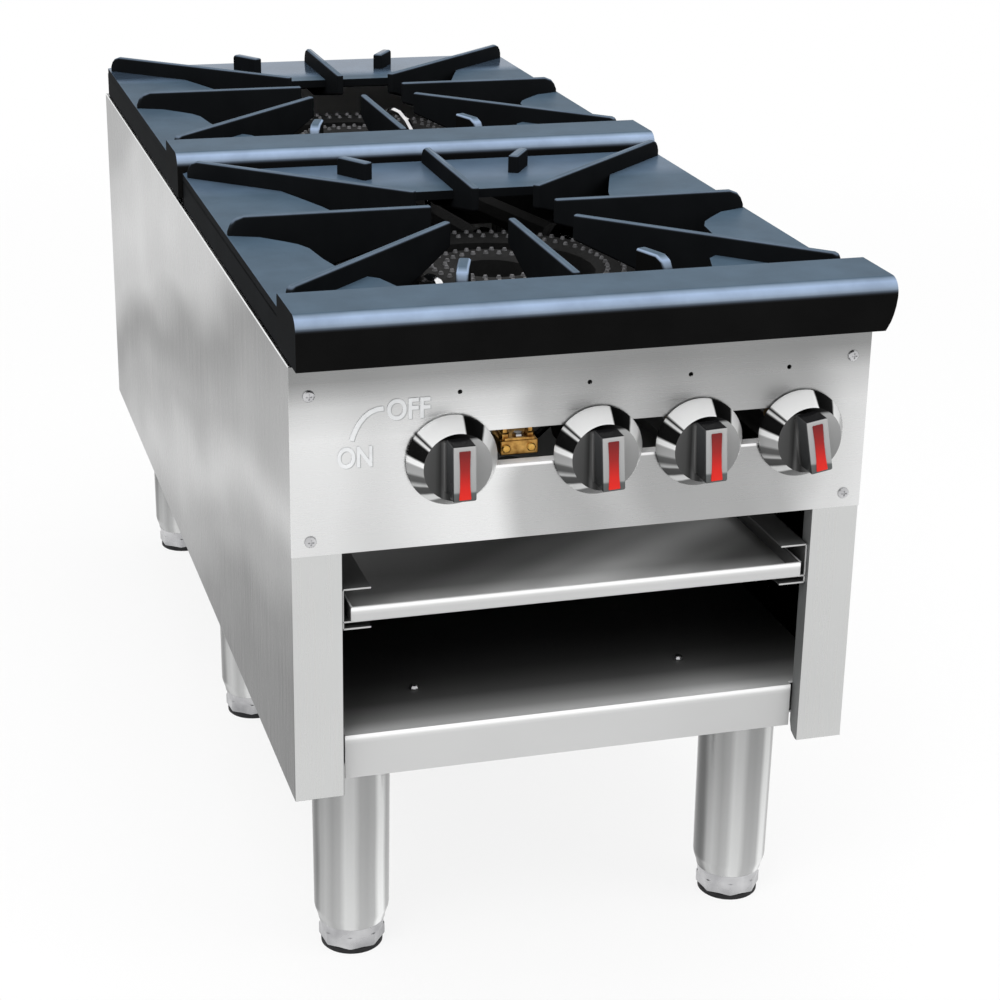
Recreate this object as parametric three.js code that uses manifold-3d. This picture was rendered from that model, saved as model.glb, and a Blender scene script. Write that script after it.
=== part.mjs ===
// Double stock pot range: a narrow floor-standing gas range with two cast-iron top grates, one behind
// the other, four burner valves on the front panel, a drip tray, an open storage bay and six legs.
// Millimetres, +Z up. While the pieces are made, z = 0 is the floor, y = 0 is the front face of the
// body's two columns and +y runs to the back; the finished group is centred over its own footprint.
import * as THREE from "three";
import { mergeVertices } from "three/addons/utils/BufferGeometryUtils.js";
import Module from "manifold-3d";

const wasm = await Module();
wasm.setup();

// ---------------------------------------------------------------- driving dimensions

const seatGap = 0.3; // between pieces that touch
const runGap = 1.5; // between pieces that slide or turn past each other

// body
const bodyWidth = 457;
const bodyDepth = 1041;
const bodyBottom = 176;
const bodyTop = 528;
const sheet = 1.5;
const columnWidth = 38.8;
const columnReturn = 15;
const columnReturnRound = 11;
const topFlange = 22;
const bottomFlange = 16;
const rearFlange = 18;

// control panel, with places across it as shares of the body's half width
const panelHeight = 147.7;
const panelHem = 20;
const slotLeftShare = -0.5164;
const slotRightShare = 0.814;
const slotBelow = 6.5; // from the knobs' axes down to the slot's lower edge
const slotAbove = 21.5; // from the knobs' axes up to its upper edge
const slotLip = 9;
const adjusterHoleShares = [-0.4403, 0, 0.3527, 0.7046];
const adjusterHoleDrop = 28; // below the body's top
const adjusterHoleRadius = 1.9;
const screwInset = 14.5; // from the body's side
const screwRise = 11.7; // lower screws above the panel's bottom
const screwDrop = 22.7; // upper screws below the body's top
const screwHeadRadius = 4.6;
const screwHeadHeight = 2.4;
const screwShankRadius = 2.4;
const screwLength = 10;

// gas controls, left to right: front outer, front inner, rear inner and rear outer ring
const knobShares = [-0.4683, 0.0328, 0.3895, 0.7571]; // of the body's half width
const knobDrop = 81.5; // from the body's top down to the knobs' axes
const knobTurn = [1, 3, 3, 10]; // degrees towards ON from upright, as the knobs stand
const knobSkirtRadius = 35;
const knobFaceRadius = 26;
const knobStandOff = 1.2; // air between the skirt and the panel
const knobFaceDepth = 19; // panel side of the skirt to the face
const knobBarDepth = 20; // face to the front of the grip bar
const knobBarWidth = 19;
const knobBarTipLength = 44;
const knobWall = 2.6;
const knobHubRadius = 9;
const pointerWidth = 9.6;
const pointerLength = 38;
const pointerThickness = 2.4;
const stemRadius = 4;
const valveFront = 14;
const valveLength = 34;
const valveRadius = 9.5;
const valveSpigotRadius = 7;
const hoodRadius = 8;
const hoodLength = 12;

// gas pipes
const manifoldRadius = 13.3;
const manifoldY = 36;
const manifoldDrop = 35.5; // below the knobs' axes
const manifoldInset = 24.5; // its left end, from the body's side
const plugRadius = 8;
const plugLength = 9;
const bossRadius = 9;
const bossHeight = 18; // above the manifold's axis
const supplyPipeInset = 29; // from the body's side
const elbowReach = 15.9; // from the supply pipe's axis to the manifold's right end
const inletStickOut = 22;
const inletHexRadius = 19;
const inletHexLength = 16;
const elbowRadius = 15.3;
const tubeRadius = 6.35; // tubes that feed the rear burner
const orificeRadius = 9;
const orificeLength = 22;
const pilotTubeRadius = 3.2;
const pilotValveShare = -0.2188; // of the body's half width
const pilotValveWidth = 30;
const pilotValveDepth = 16;
const pilotValveRise = 6; // its top above the knobs' axes
const pilotScrewRadius = 4.6;
const pilotScrewRise = 16.5; // the screws' tops above the knobs' axes
const pilotScrewSpread = 9.5;
const pilotValveBack = 7; // behind the manifold's axis
const pilotPortSpread = 8; // from the pilot valve's middle to each tube
// The pilot tubes' routes: x, which star (0 front, 1 rear), y from its middle, drop from the body's top.
const frontPilotRoute = [
  [-78, 0, -180, 66],
  [-84, 0, -174, 28],
  [-86, 0, -164, -12],
  [-86, 0, -144, -22],
  [-85, 0, -116, -18],
  [-81, 0, -84, -8],
  [-74, 0, -56, 0],
  [-70, 0, -38, 5],
  [-68, 0, -14, 11],
];
const rearPilotRoute = [
  [-20, 0, -174, 104],
  [46, 0, -60, 104],
  [46, 1, -230, 104],
  [46, 1, -166, 92],
  [44, 1, -146, 38],
  [43, 1, -126, 0],
  [42, 1, -90, -17],
  [41, 1, -56, -24],
  [41, 1, -20, -21.5],
  [41, 1, 10, -14],
  [41, 1, 25, -8],
];

// top grates
const grateInset = 2.1; // from the body's side to the grate's rim
const grateGap = 2; // between the front and the rear grate
const grateOverhang = 37.5; // how far the front grate's rail stands in front of the columns
const grateShort = 11.5; // from the rear grate's back edge to the body's back
const grateRise = 47; // the fins' tops above the body's top
const finHeight = 16; // above the plate
const plateThickness = 8;
const rimThickness = 8;
const railStickOut = 1.5; // how far the rail's ends stand out past the body's sides
const railEndIn = [3.5, 0.9, 0, 1.2, 6]; // how far its rounded ends draw in, from the top down
const railDepth = 67.5;
const railRise = 7; // the rail's bottom above the body's top
const railWall = 8;
const railRound = 9;
const finThickness = 7;
const finTipHeight = 21.5; // of a fin at its tip
const finRootRun = 85; // from a fin's tip to where its underside levels out
const centreRootRun = 130; // the same for the rear middle fin
const starShare = 0.56244; // from the grate's front edge to the middle of the star of fins
const starHalf = 54; // half the side of the square that the fins' tips leave open
const rearLedge = 119; // from the opening to the grate's back edge
const frontLedge = 34; // from the rail to the opening behind it
const centreFinEnd = 3; // from the rear middle fin's end to the grate's back edge
const cornerFinEnd = 19; // from the rear corner fins' ends to the grate's back edge
const cornerFinOut = 4; // how far their ends reach into the side rims
const cornerFinStart = 14; // from the rail to the front corner fins' ends
const lugThickness = 10;
const lugNose = { front: 11, rear: 3 }; // run of the slope at its outer end
const frontLug = { inner: 31, outer: -4 }; // from the opening's front edge
const rearLug = { inner: 54, outer: 86 }; // from the opening's rear edge
const lugX = { front: [71, 83], rear: [67.5, 87] }; // inner and outer ends, from the middle
// The plate's opening, as shares of the grate's half width and of the way from the star's middle to
// the opening's front edge, and then to its rear edge.
const openingFront = [
  [0.539, 1],
  [0.5786, 0.8485],
  [0.5963, 0.7828],
  [0.6581, 0.7172],
  [0.7155, 0.5505],
  [0.742, 0.3434],
  [0.7509, 0.2525],
  [0.8127, 0.1616],
  [0.8878, 0.0556],
  [0.9717, 0.0202],
];
const openingRear = [
  [0.9717, 0.0364],
  [0.4947, 0.0364],
  [0.5654, 0.7],
  [0.6935, 1.3455],
  [0.5212, 1],
];

// burners
const burnerDrop = 8; // below the body's top
const burnerHeight = 24;
const outerRing = { inside: 88, outside: 122 };
const innerRing = { inside: 30, outside: 62 };
const ringPortHeight = 3;
const ringPortInset = 7;
const mixerRadius = 13;
const mixerMouthRadius = 18;
const mixerMouthLength = 16;
const mixerInset = 192; // from the rear burner's middle to its mixing tubes' mouths
const mixerDip = 10; // under the rings
const mixerEntry = 8; // run of a mixing tube's last bend
const restSpread = 100; // from a burner's middle to the plates that carry it
const restHeight = 52;
const restSheet = 2;

// drip tray and its runners
const trayClearance = 4.4; // from a runner's web to the tray
const trayDrop = 205.8; // from the body's top to the tray's bottom
const trayHeight = 12.8;
const trayShort = 13; // from the tray's back to the body's back
const runnerHeight = 26.6; // above the tray's bottom
const runnerFlange = 22.5;
const runnerLip = 7;
const runnerFront = 4;

// bottom shelf
const shelfRise = 46; // above the body's bottom
const shelfFlangeRise = 9; // above the body's bottom
const shelfSetBack = 11;
const shelfBoltInset = 54; // from a leg's axis
const shelfBoltY = 80;
const shelfBoltRadius = 4;
const shelfBoltHeight = 3;
const shelfBoltLength = 9;

// legs
const legInset = 60.5; // from the body's side
const legFrontInset = 75; // from the body's front
const legRearInset = 64; // from the body's back
const legMiddleShare = 0.50144; // of the body's depth
const legRadius = 30.5;
const legEndRadius = 27.5;
const legBottom = 23;
const legTaper = 8;
const legPlate = 84;
const legPlateThickness = 3;
const footAcross = 53;
const footPadHeight = 3;
const footPadAcross = 49;
const footTurn = 7; // degrees
const studRadius = 6;
const studLength = 40;
const crossbarWeb = 2;

// ---------------------------------------------------------------- derived places

const halfWidth = bodyWidth / 2;
const innerHalf = halfWidth - sheet;
const columnInner = halfWidth - columnWidth;
const panelFront = -sheet - seatGap;
const backPanelY = bodyDepth - sheet - seatGap - sheet;
const panelBottom = bodyTop - panelHeight;
const screwX = halfWidth - screwInset;
const screwLowZ = panelBottom + screwRise;
const screwHighZ = bodyTop - screwDrop;
const adjusterHoleZ = bodyTop - adjusterHoleDrop;
const adjusterHoleX = adjusterHoleShares.map((share) => share * halfWidth);
const knobX = knobShares.map((share) => share * halfWidth);
const knobZ = bodyTop - knobDrop;
const slotLeft = slotLeftShare * halfWidth;
const slotRight = slotRightShare * halfWidth;
const slotBottom = knobZ - slotBelow;
const slotTop = knobZ + slotAbove;
const manifoldZ = knobZ - manifoldDrop;
const supplyPipeX = halfWidth - supplyPipeInset;
const manifoldLeft = manifoldInset - halfWidth;
const manifoldRight = supplyPipeX - elbowReach;
const bossTop = manifoldZ + bossHeight;
const pilotValveX = pilotValveShare * halfWidth;
const pilotValveTop = knobZ + pilotValveRise;
const pilotScrewTop = knobZ + pilotScrewRise;
const burnerTop = bodyTop - burnerDrop;
const trayWidth = 2 * (columnInner - seatGap - sheet - trayClearance);
const trayDepth = bodyDepth - trayShort;
const trayBottom = bodyTop - trayDrop;
const trayTop = trayBottom + trayHeight;
const runnerTop = trayBottom + runnerHeight;
const shelfTop = bodyBottom + shelfRise;
const shelfFlangeBottom = bodyBottom + shelfFlangeRise;
const legX = halfWidth - legInset;
const legY = [legFrontInset, legMiddleShare * bodyDepth, bodyDepth - legRearInset];
const shelfBoltX = legX - shelfBoltInset;
const grateTop = bodyTop + grateRise;
const plateTop = grateTop - finHeight;
const railBottom = bodyTop + railRise;
const railWidth = bodyWidth + 2 * railStickOut;
const grateWidth = bodyWidth - 2 * grateInset;
const grateDepth = (bodyDepth + grateOverhang - grateGap - grateShort) / 2;
const gratePitch = grateDepth + grateGap;
const starCentre = starShare * grateDepth;
const rimBottom = bodyTop + seatGap;
const starY = [starCentre - grateOverhang, starCentre - grateOverhang + gratePitch];
const knobBack = panelFront - knobStandOff;
const knobFace = knobBack - knobFaceDepth;
const knobFront = knobFace - knobBarDepth;
const inletEnd = bodyDepth + inletStickOut;
const restTop = burnerTop - burnerHeight - seatGap;
const legTop = shelfFlangeBottom - seatGap - legPlateThickness + 2.6;
const crossbarBottom = legTop + legPlateThickness + seatGap;

// ---------------------------------------------------------------- materials

const finish = (colour, roughness, metalness) => ({ color: colour, roughness, metalness });
const stainless = finish(0xc9cbca, 0.34, 1);
const castIron = finish(0x20252c, 0.45, 0.35);
const burnerIron = finish(0x3a3b3d, 0.7, 0.4);
const chrome = finish(0xdcdddf, 0.08, 1);
const redPlastic = finish(0xc01a12, 0.4, 0);
const brass = finish(0xb8843a, 0.35, 1);
const aluminium = finish(0xb9bbbd, 0.4, 1);
const blackPipe = finish(0x1d1d1e, 0.6, 0.5);
const steel = finish(0x9a9c9e, 0.35, 1);

// ---------------------------------------------------------------- solids

// A closed geometry as a solid that can be joined and cut. Its points are moved to the nearest
// 1/1024 mm, which a 32-bit number holds exactly, so faces that should be flush are flush.
function solid(geometry) {
  const bare = geometry.index ? geometry.toNonIndexed() : geometry.clone();
  bare.deleteAttribute("normal");
  bare.deleteAttribute("uv");
  const merged = mergeVertices(bare, 1e-4);
  return new wasm.Manifold(
    new wasm.Mesh({
      numProp: 3,
      vertProperties: merged.attributes.position.array.map((value) => Math.round(value * 1024) / 1024),
      triVerts: new Uint32Array(merged.index.array),
    }),
  );
}

function join(first, ...others) {
  return others.reduce((sum, other) => sum.add(other), first);
}

function cut(first, ...others) {
  return others.reduce((rest, other) => rest.subtract(other), first);
}

function geometryOf(made) {
  const mesh = made.getMesh();
  const geometry = new THREE.BufferGeometry();
  geometry.setAttribute("position", new THREE.BufferAttribute(mesh.vertProperties, 3));
  geometry.setIndex(new THREE.BufferAttribute(mesh.triVerts, 1));
  geometry.computeVertexNormals();
  return geometry;
}

// A block between two values on each axis, given in either order.
function block([x0, x1], [y0, y1], [z0, z1]) {
  const geometry = new THREE.BoxGeometry(Math.abs(x1 - x0), Math.abs(y1 - y0), Math.abs(z1 - z0));
  geometry.translate((x0 + x1) / 2, (y0 + y1) / 2, (z0 + z1) / 2);
  return solid(geometry);
}

function outline(points) {
  return new THREE.Shape(points.map(([a, b]) => new THREE.Vector2(a, b)));
}

// An outline in x and y, raised from z0 to z1.
function prismZ(points, z0, z1) {
  const geometry = new THREE.ExtrudeGeometry(outline(points), { depth: z1 - z0, bevelEnabled: false });
  geometry.translate(0, 0, z0);
  return solid(geometry);
}

// An outline in y and z, run from x0 to x1.
function prismX(points, x0, x1) {
  const geometry = new THREE.ExtrudeGeometry(outline(points), { depth: x1 - x0, bevelEnabled: false });
  geometry.rotateX(Math.PI / 2);
  geometry.rotateZ(Math.PI / 2);
  geometry.translate(x0, 0, 0);
  return solid(geometry);
}

// An outline in x and z, run from y0 to y1.
function prismY(points, y0, y1) {
  const geometry = new THREE.ExtrudeGeometry(outline(points), { depth: y1 - y0, bevelEnabled: false });
  geometry.rotateX(Math.PI / 2);
  geometry.translate(0, y1, 0);
  return solid(geometry);
}

// A turned piece about the vertical axis, from a profile of radius and height.
function turned(profile, sides) {
  const points = profile.map(([r, z]) => new THREE.Vector2(r, z));
  return solid(new THREE.LatheGeometry(points, sides).rotateX(Math.PI / 2));
}

function rod(radius, z0, z1, sides = 16) {
  return turned([[0, z0], [radius, z0], [radius, z1], [0, z1]], sides);
}

// A rod along y, or along x, about the point (a, z).
function rodY(radius, y0, y1, x, z, sides = 16) {
  return rod(radius, -y1, -y0, sides).rotate([90, 0, 0]).translate([x, 0, z]);
}

function rodX(radius, x0, x1, y, z, sides = 16) {
  return rod(radius, x0, x1, sides).rotate([0, 90, 0]).translate([0, y, z]);
}

// A tube of round section along a smooth curve through the points.
function bentRod(points, radius, sides = 10, steps = 20) {
  const path = new THREE.CatmullRomCurve3(points.map((p) => new THREE.Vector3(...p)), false, "centripetal");
  const section = new THREE.Shape(
    Array.from({ length: sides }, (_, i) => {
      const turn = (2 * Math.PI * i) / sides;
      return new THREE.Vector2(radius * Math.cos(turn), radius * Math.sin(turn));
    }),
  );
  return solid(new THREE.ExtrudeGeometry(section, { steps, extrudePath: path, bevelEnabled: false }));
}

// ---------------------------------------------------------------- the assembly

const group = new THREE.Group();

function addPiece(name, made, look) {
  const mesh = new THREE.Mesh(geometryOf(made), new THREE.MeshStandardMaterial(look));
  mesh.name = name;
  group.add(mesh);
}

const sides = [["left", -1], ["right", 1]];

// ---------------------------------------------------------------- body panels

// A side panel: the skin with its front column, and the flanges along its top, bottom and rear edges.
// The strips meet edge to edge.
function sidePanel(sign) {
  const rise = [bodyBottom, bodyTop];
  const inward = (reach) => [sign * innerHalf, sign * (halfWidth - reach)];
  const flangeRun = [sheet, bodyDepth];
  const returnOutline = [
    [sheet, bodyBottom],
    [columnReturn - columnReturnRound, bodyBottom],
    [columnReturn - columnReturnRound * 0.29, bodyBottom + columnReturnRound * 0.29],
    [columnReturn, bodyBottom + columnReturnRound],
    [columnReturn, bodyTop],
    [sheet, bodyTop],
  ];
  const returnX = [sign * columnInner, sign * (columnInner + sheet)].sort((a, b) => a - b);
  const bracketTop = manifoldZ - (sign < 0 ? manifoldRadius : elbowRadius) - seatGap;
  const panel = join(
    block([sign * innerHalf, sign * halfWidth], [0, bodyDepth], rise),
    block(inward(columnWidth), [0, sheet], rise),
    prismX(returnOutline, ...returnX),
    block(inward(topFlange), flangeRun, [bodyTop - sheet, bodyTop]),
    block(inward(bottomFlange), flangeRun, [bodyBottom, bodyBottom + sheet]),
    block(inward(rearFlange), [bodyDepth - sheet, bodyDepth], [bodyBottom + sheet, bodyTop - sheet]),
    block(inward(columnWidth - sheet), [manifoldY - 14, manifoldY + 14], [bracketTop - 2, bracketTop]),
  );
  const screwHoles = [screwLowZ, screwHighZ].map((z) =>
    rodY(screwShankRadius + seatGap, -1, sheet + 1, sign * screwX, z, 8),
  );
  const pipeNotch = block(
    [supplyPipeX, supplyPipeX + manifoldRadius + runGap],
    [bodyDepth - 2 * sheet, bodyDepth + 1],
    [manifoldZ - manifoldRadius * 0.8, manifoldZ + manifoldRadius * 0.8],
  );
  return cut(panel, pipeNotch, ...screwHoles);
}

for (const [side, sign] of sides) addPiece(`${side}_side_panel`, sidePanel(sign), stainless);

function backPanel() {
  const reach = innerHalf - seatGap;
  const rise = [bodyBottom + sheet + seatGap, bodyTop - sheet - seatGap];
  const plate = block([-reach, reach], [backPanelY, backPanelY + sheet], rise);
  const pipeHole = rodY(manifoldRadius + seatGap, backPanelY - 1, bodyDepth, supplyPipeX, manifoldZ, 16);
  return cut(plate, pipeHole);
}

addPiece("back_panel", backPanel(), stainless);

// The control panel lies over both columns. One long slot lets the four valve stems through.
function controlPanel() {
  const face = [panelFront, panelFront + sheet];
  const between = [-columnInner + seatGap, columnInner - seatGap];
  const panel = join(
    block([-halfWidth, halfWidth], face, [panelBottom, bodyTop]),
    block(between, [panelFront, panelHem], [bodyTop - sheet, bodyTop]),
    block(between, [panelFront, panelHem], [panelBottom, panelBottom + sheet]),
    block([slotLeft, slotRight], [panelFront, slotLip], [slotBottom - sheet, slotBottom]),
  );
  const slot = block([slotLeft, slotRight], [panelFront - 1, slotLip + 1], [slotBottom, slotTop]);
  const adjusterHoles = adjusterHoleX.map((x) =>
    rodY(adjusterHoleRadius, panelFront - 1, 1, x, adjusterHoleZ, 8),
  );
  const screwHoles = [-screwX, screwX].flatMap((x) =>
    [screwLowZ, screwHighZ].map((z) => rodY(screwShankRadius + seatGap, panelFront - 1, 1, x, z, 10)),
  );
  return cut(panel, slot, ...adjusterHoles, ...screwHoles);
}

addPiece("control_panel", controlPanel(), stainless);

// A pan-head screw, standing head up with the underside of its head at z = 0.
function panScrew(headRadius, headHeight, shankRadius, length) {
  return turned(
    [
      [0, -length],
      [shankRadius, -length],
      [shankRadius, 0],
      [headRadius, 0],
      [headRadius, headHeight * 0.4],
      [headRadius * 0.7, headHeight],
      [0, headHeight],
    ],
    8,
  );
}

for (const [side, sign] of sides)
  for (const [level, z] of [["lower", screwLowZ], ["upper", screwHighZ]])
    addPiece(
      `panel_screw_${level}_${side}`,
      panScrew(screwHeadRadius, screwHeadHeight, screwShankRadius, screwLength)
        .rotate([90, 0, 0])
        .translate([sign * screwX, panelFront - seatGap, z]),
      steel,
    );

// ---------------------------------------------------------------- shelf, tray and runners

function bottomShelf() {
  const narrow = columnInner - 2 * runGap;
  const wide = innerHalf - seatGap;
  const widenAt = columnReturn + runGap;
  const deckEnd = backPanelY - seatGap;
  const deck = prismZ(
    [
      [-narrow, shelfSetBack],
      [narrow, shelfSetBack],
      [narrow, widenAt],
      [wide, widenAt],
      [wide, deckEnd],
      [-wide, deckEnd],
      [-wide, widenAt],
      [-narrow, widenAt],
    ],
    shelfTop - sheet,
    shelfTop,
  );
  const flange = block(
    [-narrow, narrow],
    [shelfSetBack, shelfSetBack + sheet],
    [shelfFlangeBottom, shelfTop],
  );
  const boltHoles = [-shelfBoltX, shelfBoltX].map((x) =>
    rod(shelfBoltRadius / 2 + seatGap, shelfTop - 2 * sheet, shelfTop + 1, 10).translate([x, shelfBoltY, 0]),
  );
  return cut(join(deck, flange), ...boltHoles);
}

addPiece("bottom_shelf", bottomShelf(), stainless);

for (const [side, sign] of sides)
  addPiece(
    `shelf_bolt_${side}`,
    panScrew(shelfBoltRadius, shelfBoltHeight, shelfBoltRadius / 2, shelfBoltLength).translate([
      sign * shelfBoltX,
      shelfBoltY,
      shelfTop + seatGap,
    ]),
    steel,
  );

// A shallow pan. Its front wall is the lip that it is pulled out by.
function dripTray() {
  const half = trayWidth / 2;
  const outside = block([-half, half], [0, trayDepth], [trayBottom, trayTop]);
  const inside = block(
    [-half + sheet, half - sheet],
    [sheet, trayDepth - sheet],
    [trayBottom + sheet, trayTop + 1],
  );
  return cut(outside, inside);
}

addPiece("drip_tray", dripTray(), stainless);

// A runner is a channel open towards the tray, with the edges of its flanges turned away from it.
function trayRunner(sign) {
  const web = columnInner - seatGap;
  const tip = web - runnerFlange;
  const shelfZ = trayBottom - seatGap;
  const along = [runnerFront, backPanelY - seatGap];
  return join(
    block([sign * (web - sheet), sign * web], along, [shelfZ - sheet, runnerTop]),
    block([sign * tip, sign * web], along, [shelfZ - sheet, shelfZ]),
    block([sign * tip, sign * web], along, [runnerTop - sheet, runnerTop]),
    block([sign * tip, sign * (tip + sheet)], along, [shelfZ - runnerLip, shelfZ]),
  );
}

for (const [side, sign] of sides) addPiece(`${side}_tray_runner`, trayRunner(sign), stainless);

// ---------------------------------------------------------------- legs and feet

// A crossbar is a channel with its web down. The shelf lies on it and two legs are bolted under it.
function crossbar(y) {
  const reach = innerHalf - seatGap;
  const half = legPlate / 2;
  const top = shelfTop - sheet - seatGap;
  return join(
    block([-reach, reach], [y - half, y + half], [crossbarBottom, crossbarBottom + crossbarWeb]),
    block([-reach, reach], [y - half, y - half + crossbarWeb], [crossbarBottom, top]),
    block([-reach, reach], [y + half - crossbarWeb, y + half], [crossbarBottom, top]),
  );
}

function leg() {
  const post = turned(
    [
      [0, legBottom],
      [legEndRadius, legBottom],
      [legRadius, legBottom + legTaper],
      [legRadius, legTop],
      [0, legTop],
    ],
    20,
  );
  const half = legPlate / 2;
  const plate = block([-half, half], [-half, half], [legTop - 0.1, legTop + legPlateThickness]);
  const bore = rod(studRadius + runGap / 2, legBottom - 1, legBottom + studLength + 5, 12);
  return cut(join(post, plate), bore);
}

// The foot screws up into the leg by its stud. Its octagonal body stands on a rubber pad.
function foot() {
  const corner = 1 / Math.cos(Math.PI / 8);
  const top = legBottom - seatGap;
  const half = (footAcross / 2) * corner;
  const padHalf = (footPadAcross / 2) * corner;
  const pad = rod(padHalf, 0, footPadHeight, 8);
  const nut = rod(half, footPadHeight, top, 8);
  const stud = rod(studRadius, footPadHeight, legBottom + studLength, 12);
  return join(join(pad, nut).rotate([0, 0, 22.5 + footTurn]), stud);
}

["front", "middle", "rear"].forEach((place, i) => {
  addPiece(`${place}_crossbar`, crossbar(legY[i]), steel);
  for (const [side, sign] of sides) {
    addPiece(`leg_${place}_${side}`, leg().translate([sign * legX, legY[i], 0]), stainless);
    addPiece(`foot_${place}_${side}`, foot().translate([sign * legX, legY[i], 0]), steel);
  }
});

// ---------------------------------------------------------------- top grates

// An upright web of the casting between two points, from an outline of run and height.
function upright(from, to, thickness, points) {
  const run = Math.hypot(to[0] - from[0], to[1] - from[1]);
  const turn = (Math.atan2(to[1] - from[1], to[0] - from[0]) * 180) / Math.PI;
  const geometry = new THREE.ExtrudeGeometry(outline(points(run)), { depth: thickness, bevelEnabled: false });
  geometry.rotateX(Math.PI / 2);
  geometry.translate(0, thickness / 2, 0);
  return solid(geometry).rotate([0, 0, turn]).translate([from[0], from[1], 0]);
}

// A fin stands over the plate. Its underside drops from the tip to the level of the rim's foot.
function fin(tip, root, endDrop, rootRun = finRootRun) {
  return upright(tip, root, finThickness, (run) => [
    [0, grateTop - finTipHeight],
    [rootRun, rimBottom],
    [run, rimBottom],
    [run, grateTop - endDrop],
    [run - endDrop * 0.35, grateTop - endDrop * 0.3],
    [run - endDrop, grateTop],
    [0, grateTop],
  ]);
}

// A lug is a short rib of the fins' height beside the middle fins.
function lug(inner, outer, nose) {
  return upright(inner, outer, lugThickness, (run) => [
    [0, plateTop - plateThickness],
    [run, plateTop - plateThickness],
    [run, grateTop - nose],
    [run - nose, grateTop],
    [0, grateTop],
  ]);
}

// The opening in the plate, as places from the middle of the star, from the front ledge to the rear one.
function plateOpening(front, rear) {
  const wide = grateWidth / 2;
  const frontHalf = openingFront.map(([across, along]) => [across * wide, along * front]);
  const rearHalf = openingRear.map(([across, along]) => [across * wide, along * rear]);
  const half = frontHalf.concat(rearHalf);
  return half.concat(half.map(([x, y]) => [-x, y]).reverse());
}

// One grate, with the middle of its star at the origin.
function topGrate() {
  const half = grateWidth / 2;
  const front = -starCentre;
  const back = grateDepth - starCentre;
  const railBack = front + railDepth;
  const openFront = railBack + frontLedge;
  const openRear = back - rearLedge;
  const rimRise = [rimBottom, plateTop];
  const plate = cut(
    block([-half, half], [railBack - railWall, back], [plateTop - plateThickness, plateTop]),
    prismZ(plateOpening(openFront, openRear), rimBottom, grateTop),
  );
  const rim = join(
    block([-half, -half + rimThickness], [front + grateOverhang, back], rimRise),
    block([half - rimThickness, half], [front + grateOverhang, back], rimRise),
    block([-half, half], [back - rimThickness, back], rimRise),
  );
  const nose = (inset) => {
    const round = railRound - inset * 0.5;
    return [
      [front + inset, railBottom - (inset ? 1 : 0)],
      [railBack - inset, railBottom - (inset ? 1 : 0)],
      [railBack - inset, grateTop - inset],
      [front + inset + round, grateTop - inset],
      [front + inset + round * 0.3, grateTop - inset - round * 0.3],
      [front + inset, grateTop - inset - round],
    ];
  };
  const railHalf = railWidth / 2;
  const endHeights = [grateTop, plateTop + 7, plateTop - 3, railBottom + 10, railBottom];
  const ends = endHeights.map((z, i) => [railHalf - railEndIn[i], z]);
  const rail = cut(
    prismX(nose(0), -railHalf, railHalf).intersect(
      prismY(ends.concat(ends.map(([x, z]) => [-x, z]).reverse()), front - 1, railBack + 1),
    ),
    prismX(nose(railWall), -railHalf + railWall, railHalf - railWall),
  );
  const corner = half - finThickness;
  const fins = [
    fin([0, -starHalf], [0, railBack - 1], 0),
    fin([0, starHalf], [0, back - centreFinEnd], 12, centreRootRun),
  ];
  const across = (x, y) => [[-x, y], [x, y]];
  const lugs = [
    [lugX.front, openFront, frontLug, lugNose.front],
    [lugX.rear, openRear, rearLug, lugNose.rear],
  ].flatMap(([xs, edge, ends, nose]) => {
    const outer = across(xs[1], edge + ends.outer);
    return across(xs[0], edge + ends.inner).map((point, i) => lug(point, outer[i], nose));
  });
  for (const sign of [-1, 1]) {
    fins.push(
      fin([sign * starHalf, 0], [sign * (half - 1), 0], 13),
      fin([sign * starHalf, -starHalf], [sign * (corner - 1), railBack + cornerFinStart], 5),
      fin([sign * starHalf, starHalf], [sign * (corner + cornerFinOut), back - cornerFinEnd], 11),
    );
  }
  return join(plate, rim, rail, ...fins, ...lugs);
}

["front", "rear"].forEach((place, i) => {
  addPiece(`${place}_top_grate`, topGrate().translate([0, starY[i], 0]), castIron);
});

// ---------------------------------------------------------------- burners

// A ring burner: a hollow-looking ring with a raised band of ports, and its mixing tube to the front.
function ringBurner({ inside, outside }, mixerPoints) {
  const bottom = burnerTop - burnerHeight;
  const ring = turned(
    [
      [inside, bottom],
      [outside, bottom],
      [outside, burnerTop - ringPortHeight],
      [outside - ringPortInset, burnerTop],
      [inside + ringPortInset, burnerTop],
      [inside, burnerTop - ringPortHeight],
      [inside, bottom],
    ],
    28,
  );
  const [mouth, next] = mixerPoints;
  const mixer = bentRod(mixerPoints, mixerRadius, 8, 9);
  const flare = turned(
    [
      [0, 0],
      [mixerMouthRadius, 0],
      [mixerMouthRadius, 4],
      [mixerRadius, mixerMouthLength],
      [0, mixerMouthLength],
    ],
    12,
  );
  const heading = (Math.atan2(next[0] - mouth[0], next[1] - mouth[1]) * 180) / Math.PI;
  const atMouth = (made) => made.rotate([-90, 0, 0]).rotate([0, 0, -heading]).translate(mouth);
  const mouthPiece = atMouth(flare);
  const orificeHole = atMouth(rod(hoodRadius, -1, 10, 12));
  return cut(join(ring, mixer, mouthPiece), orificeHole);
}

// An open-topped notch in the plate at y, in which a mixing tube lies.
function mixerNotch(points, y) {
  const path = new THREE.CatmullRomCurve3(points.map((p) => new THREE.Vector3(...p)), false, "centripetal");
  const near = path.getPoints(80).reduce((best, p) => (Math.abs(p.y - y) < Math.abs(best.y - y) ? p : best));
  const half = mixerRadius + runGap;
  return join(
    bentRod(points, mixerRadius + seatGap, 8, 9),
    block([near.x - half, near.x + half], [y - restSheet, y + restSheet], [near.z, restTop + 1]),
  );
}

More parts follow.
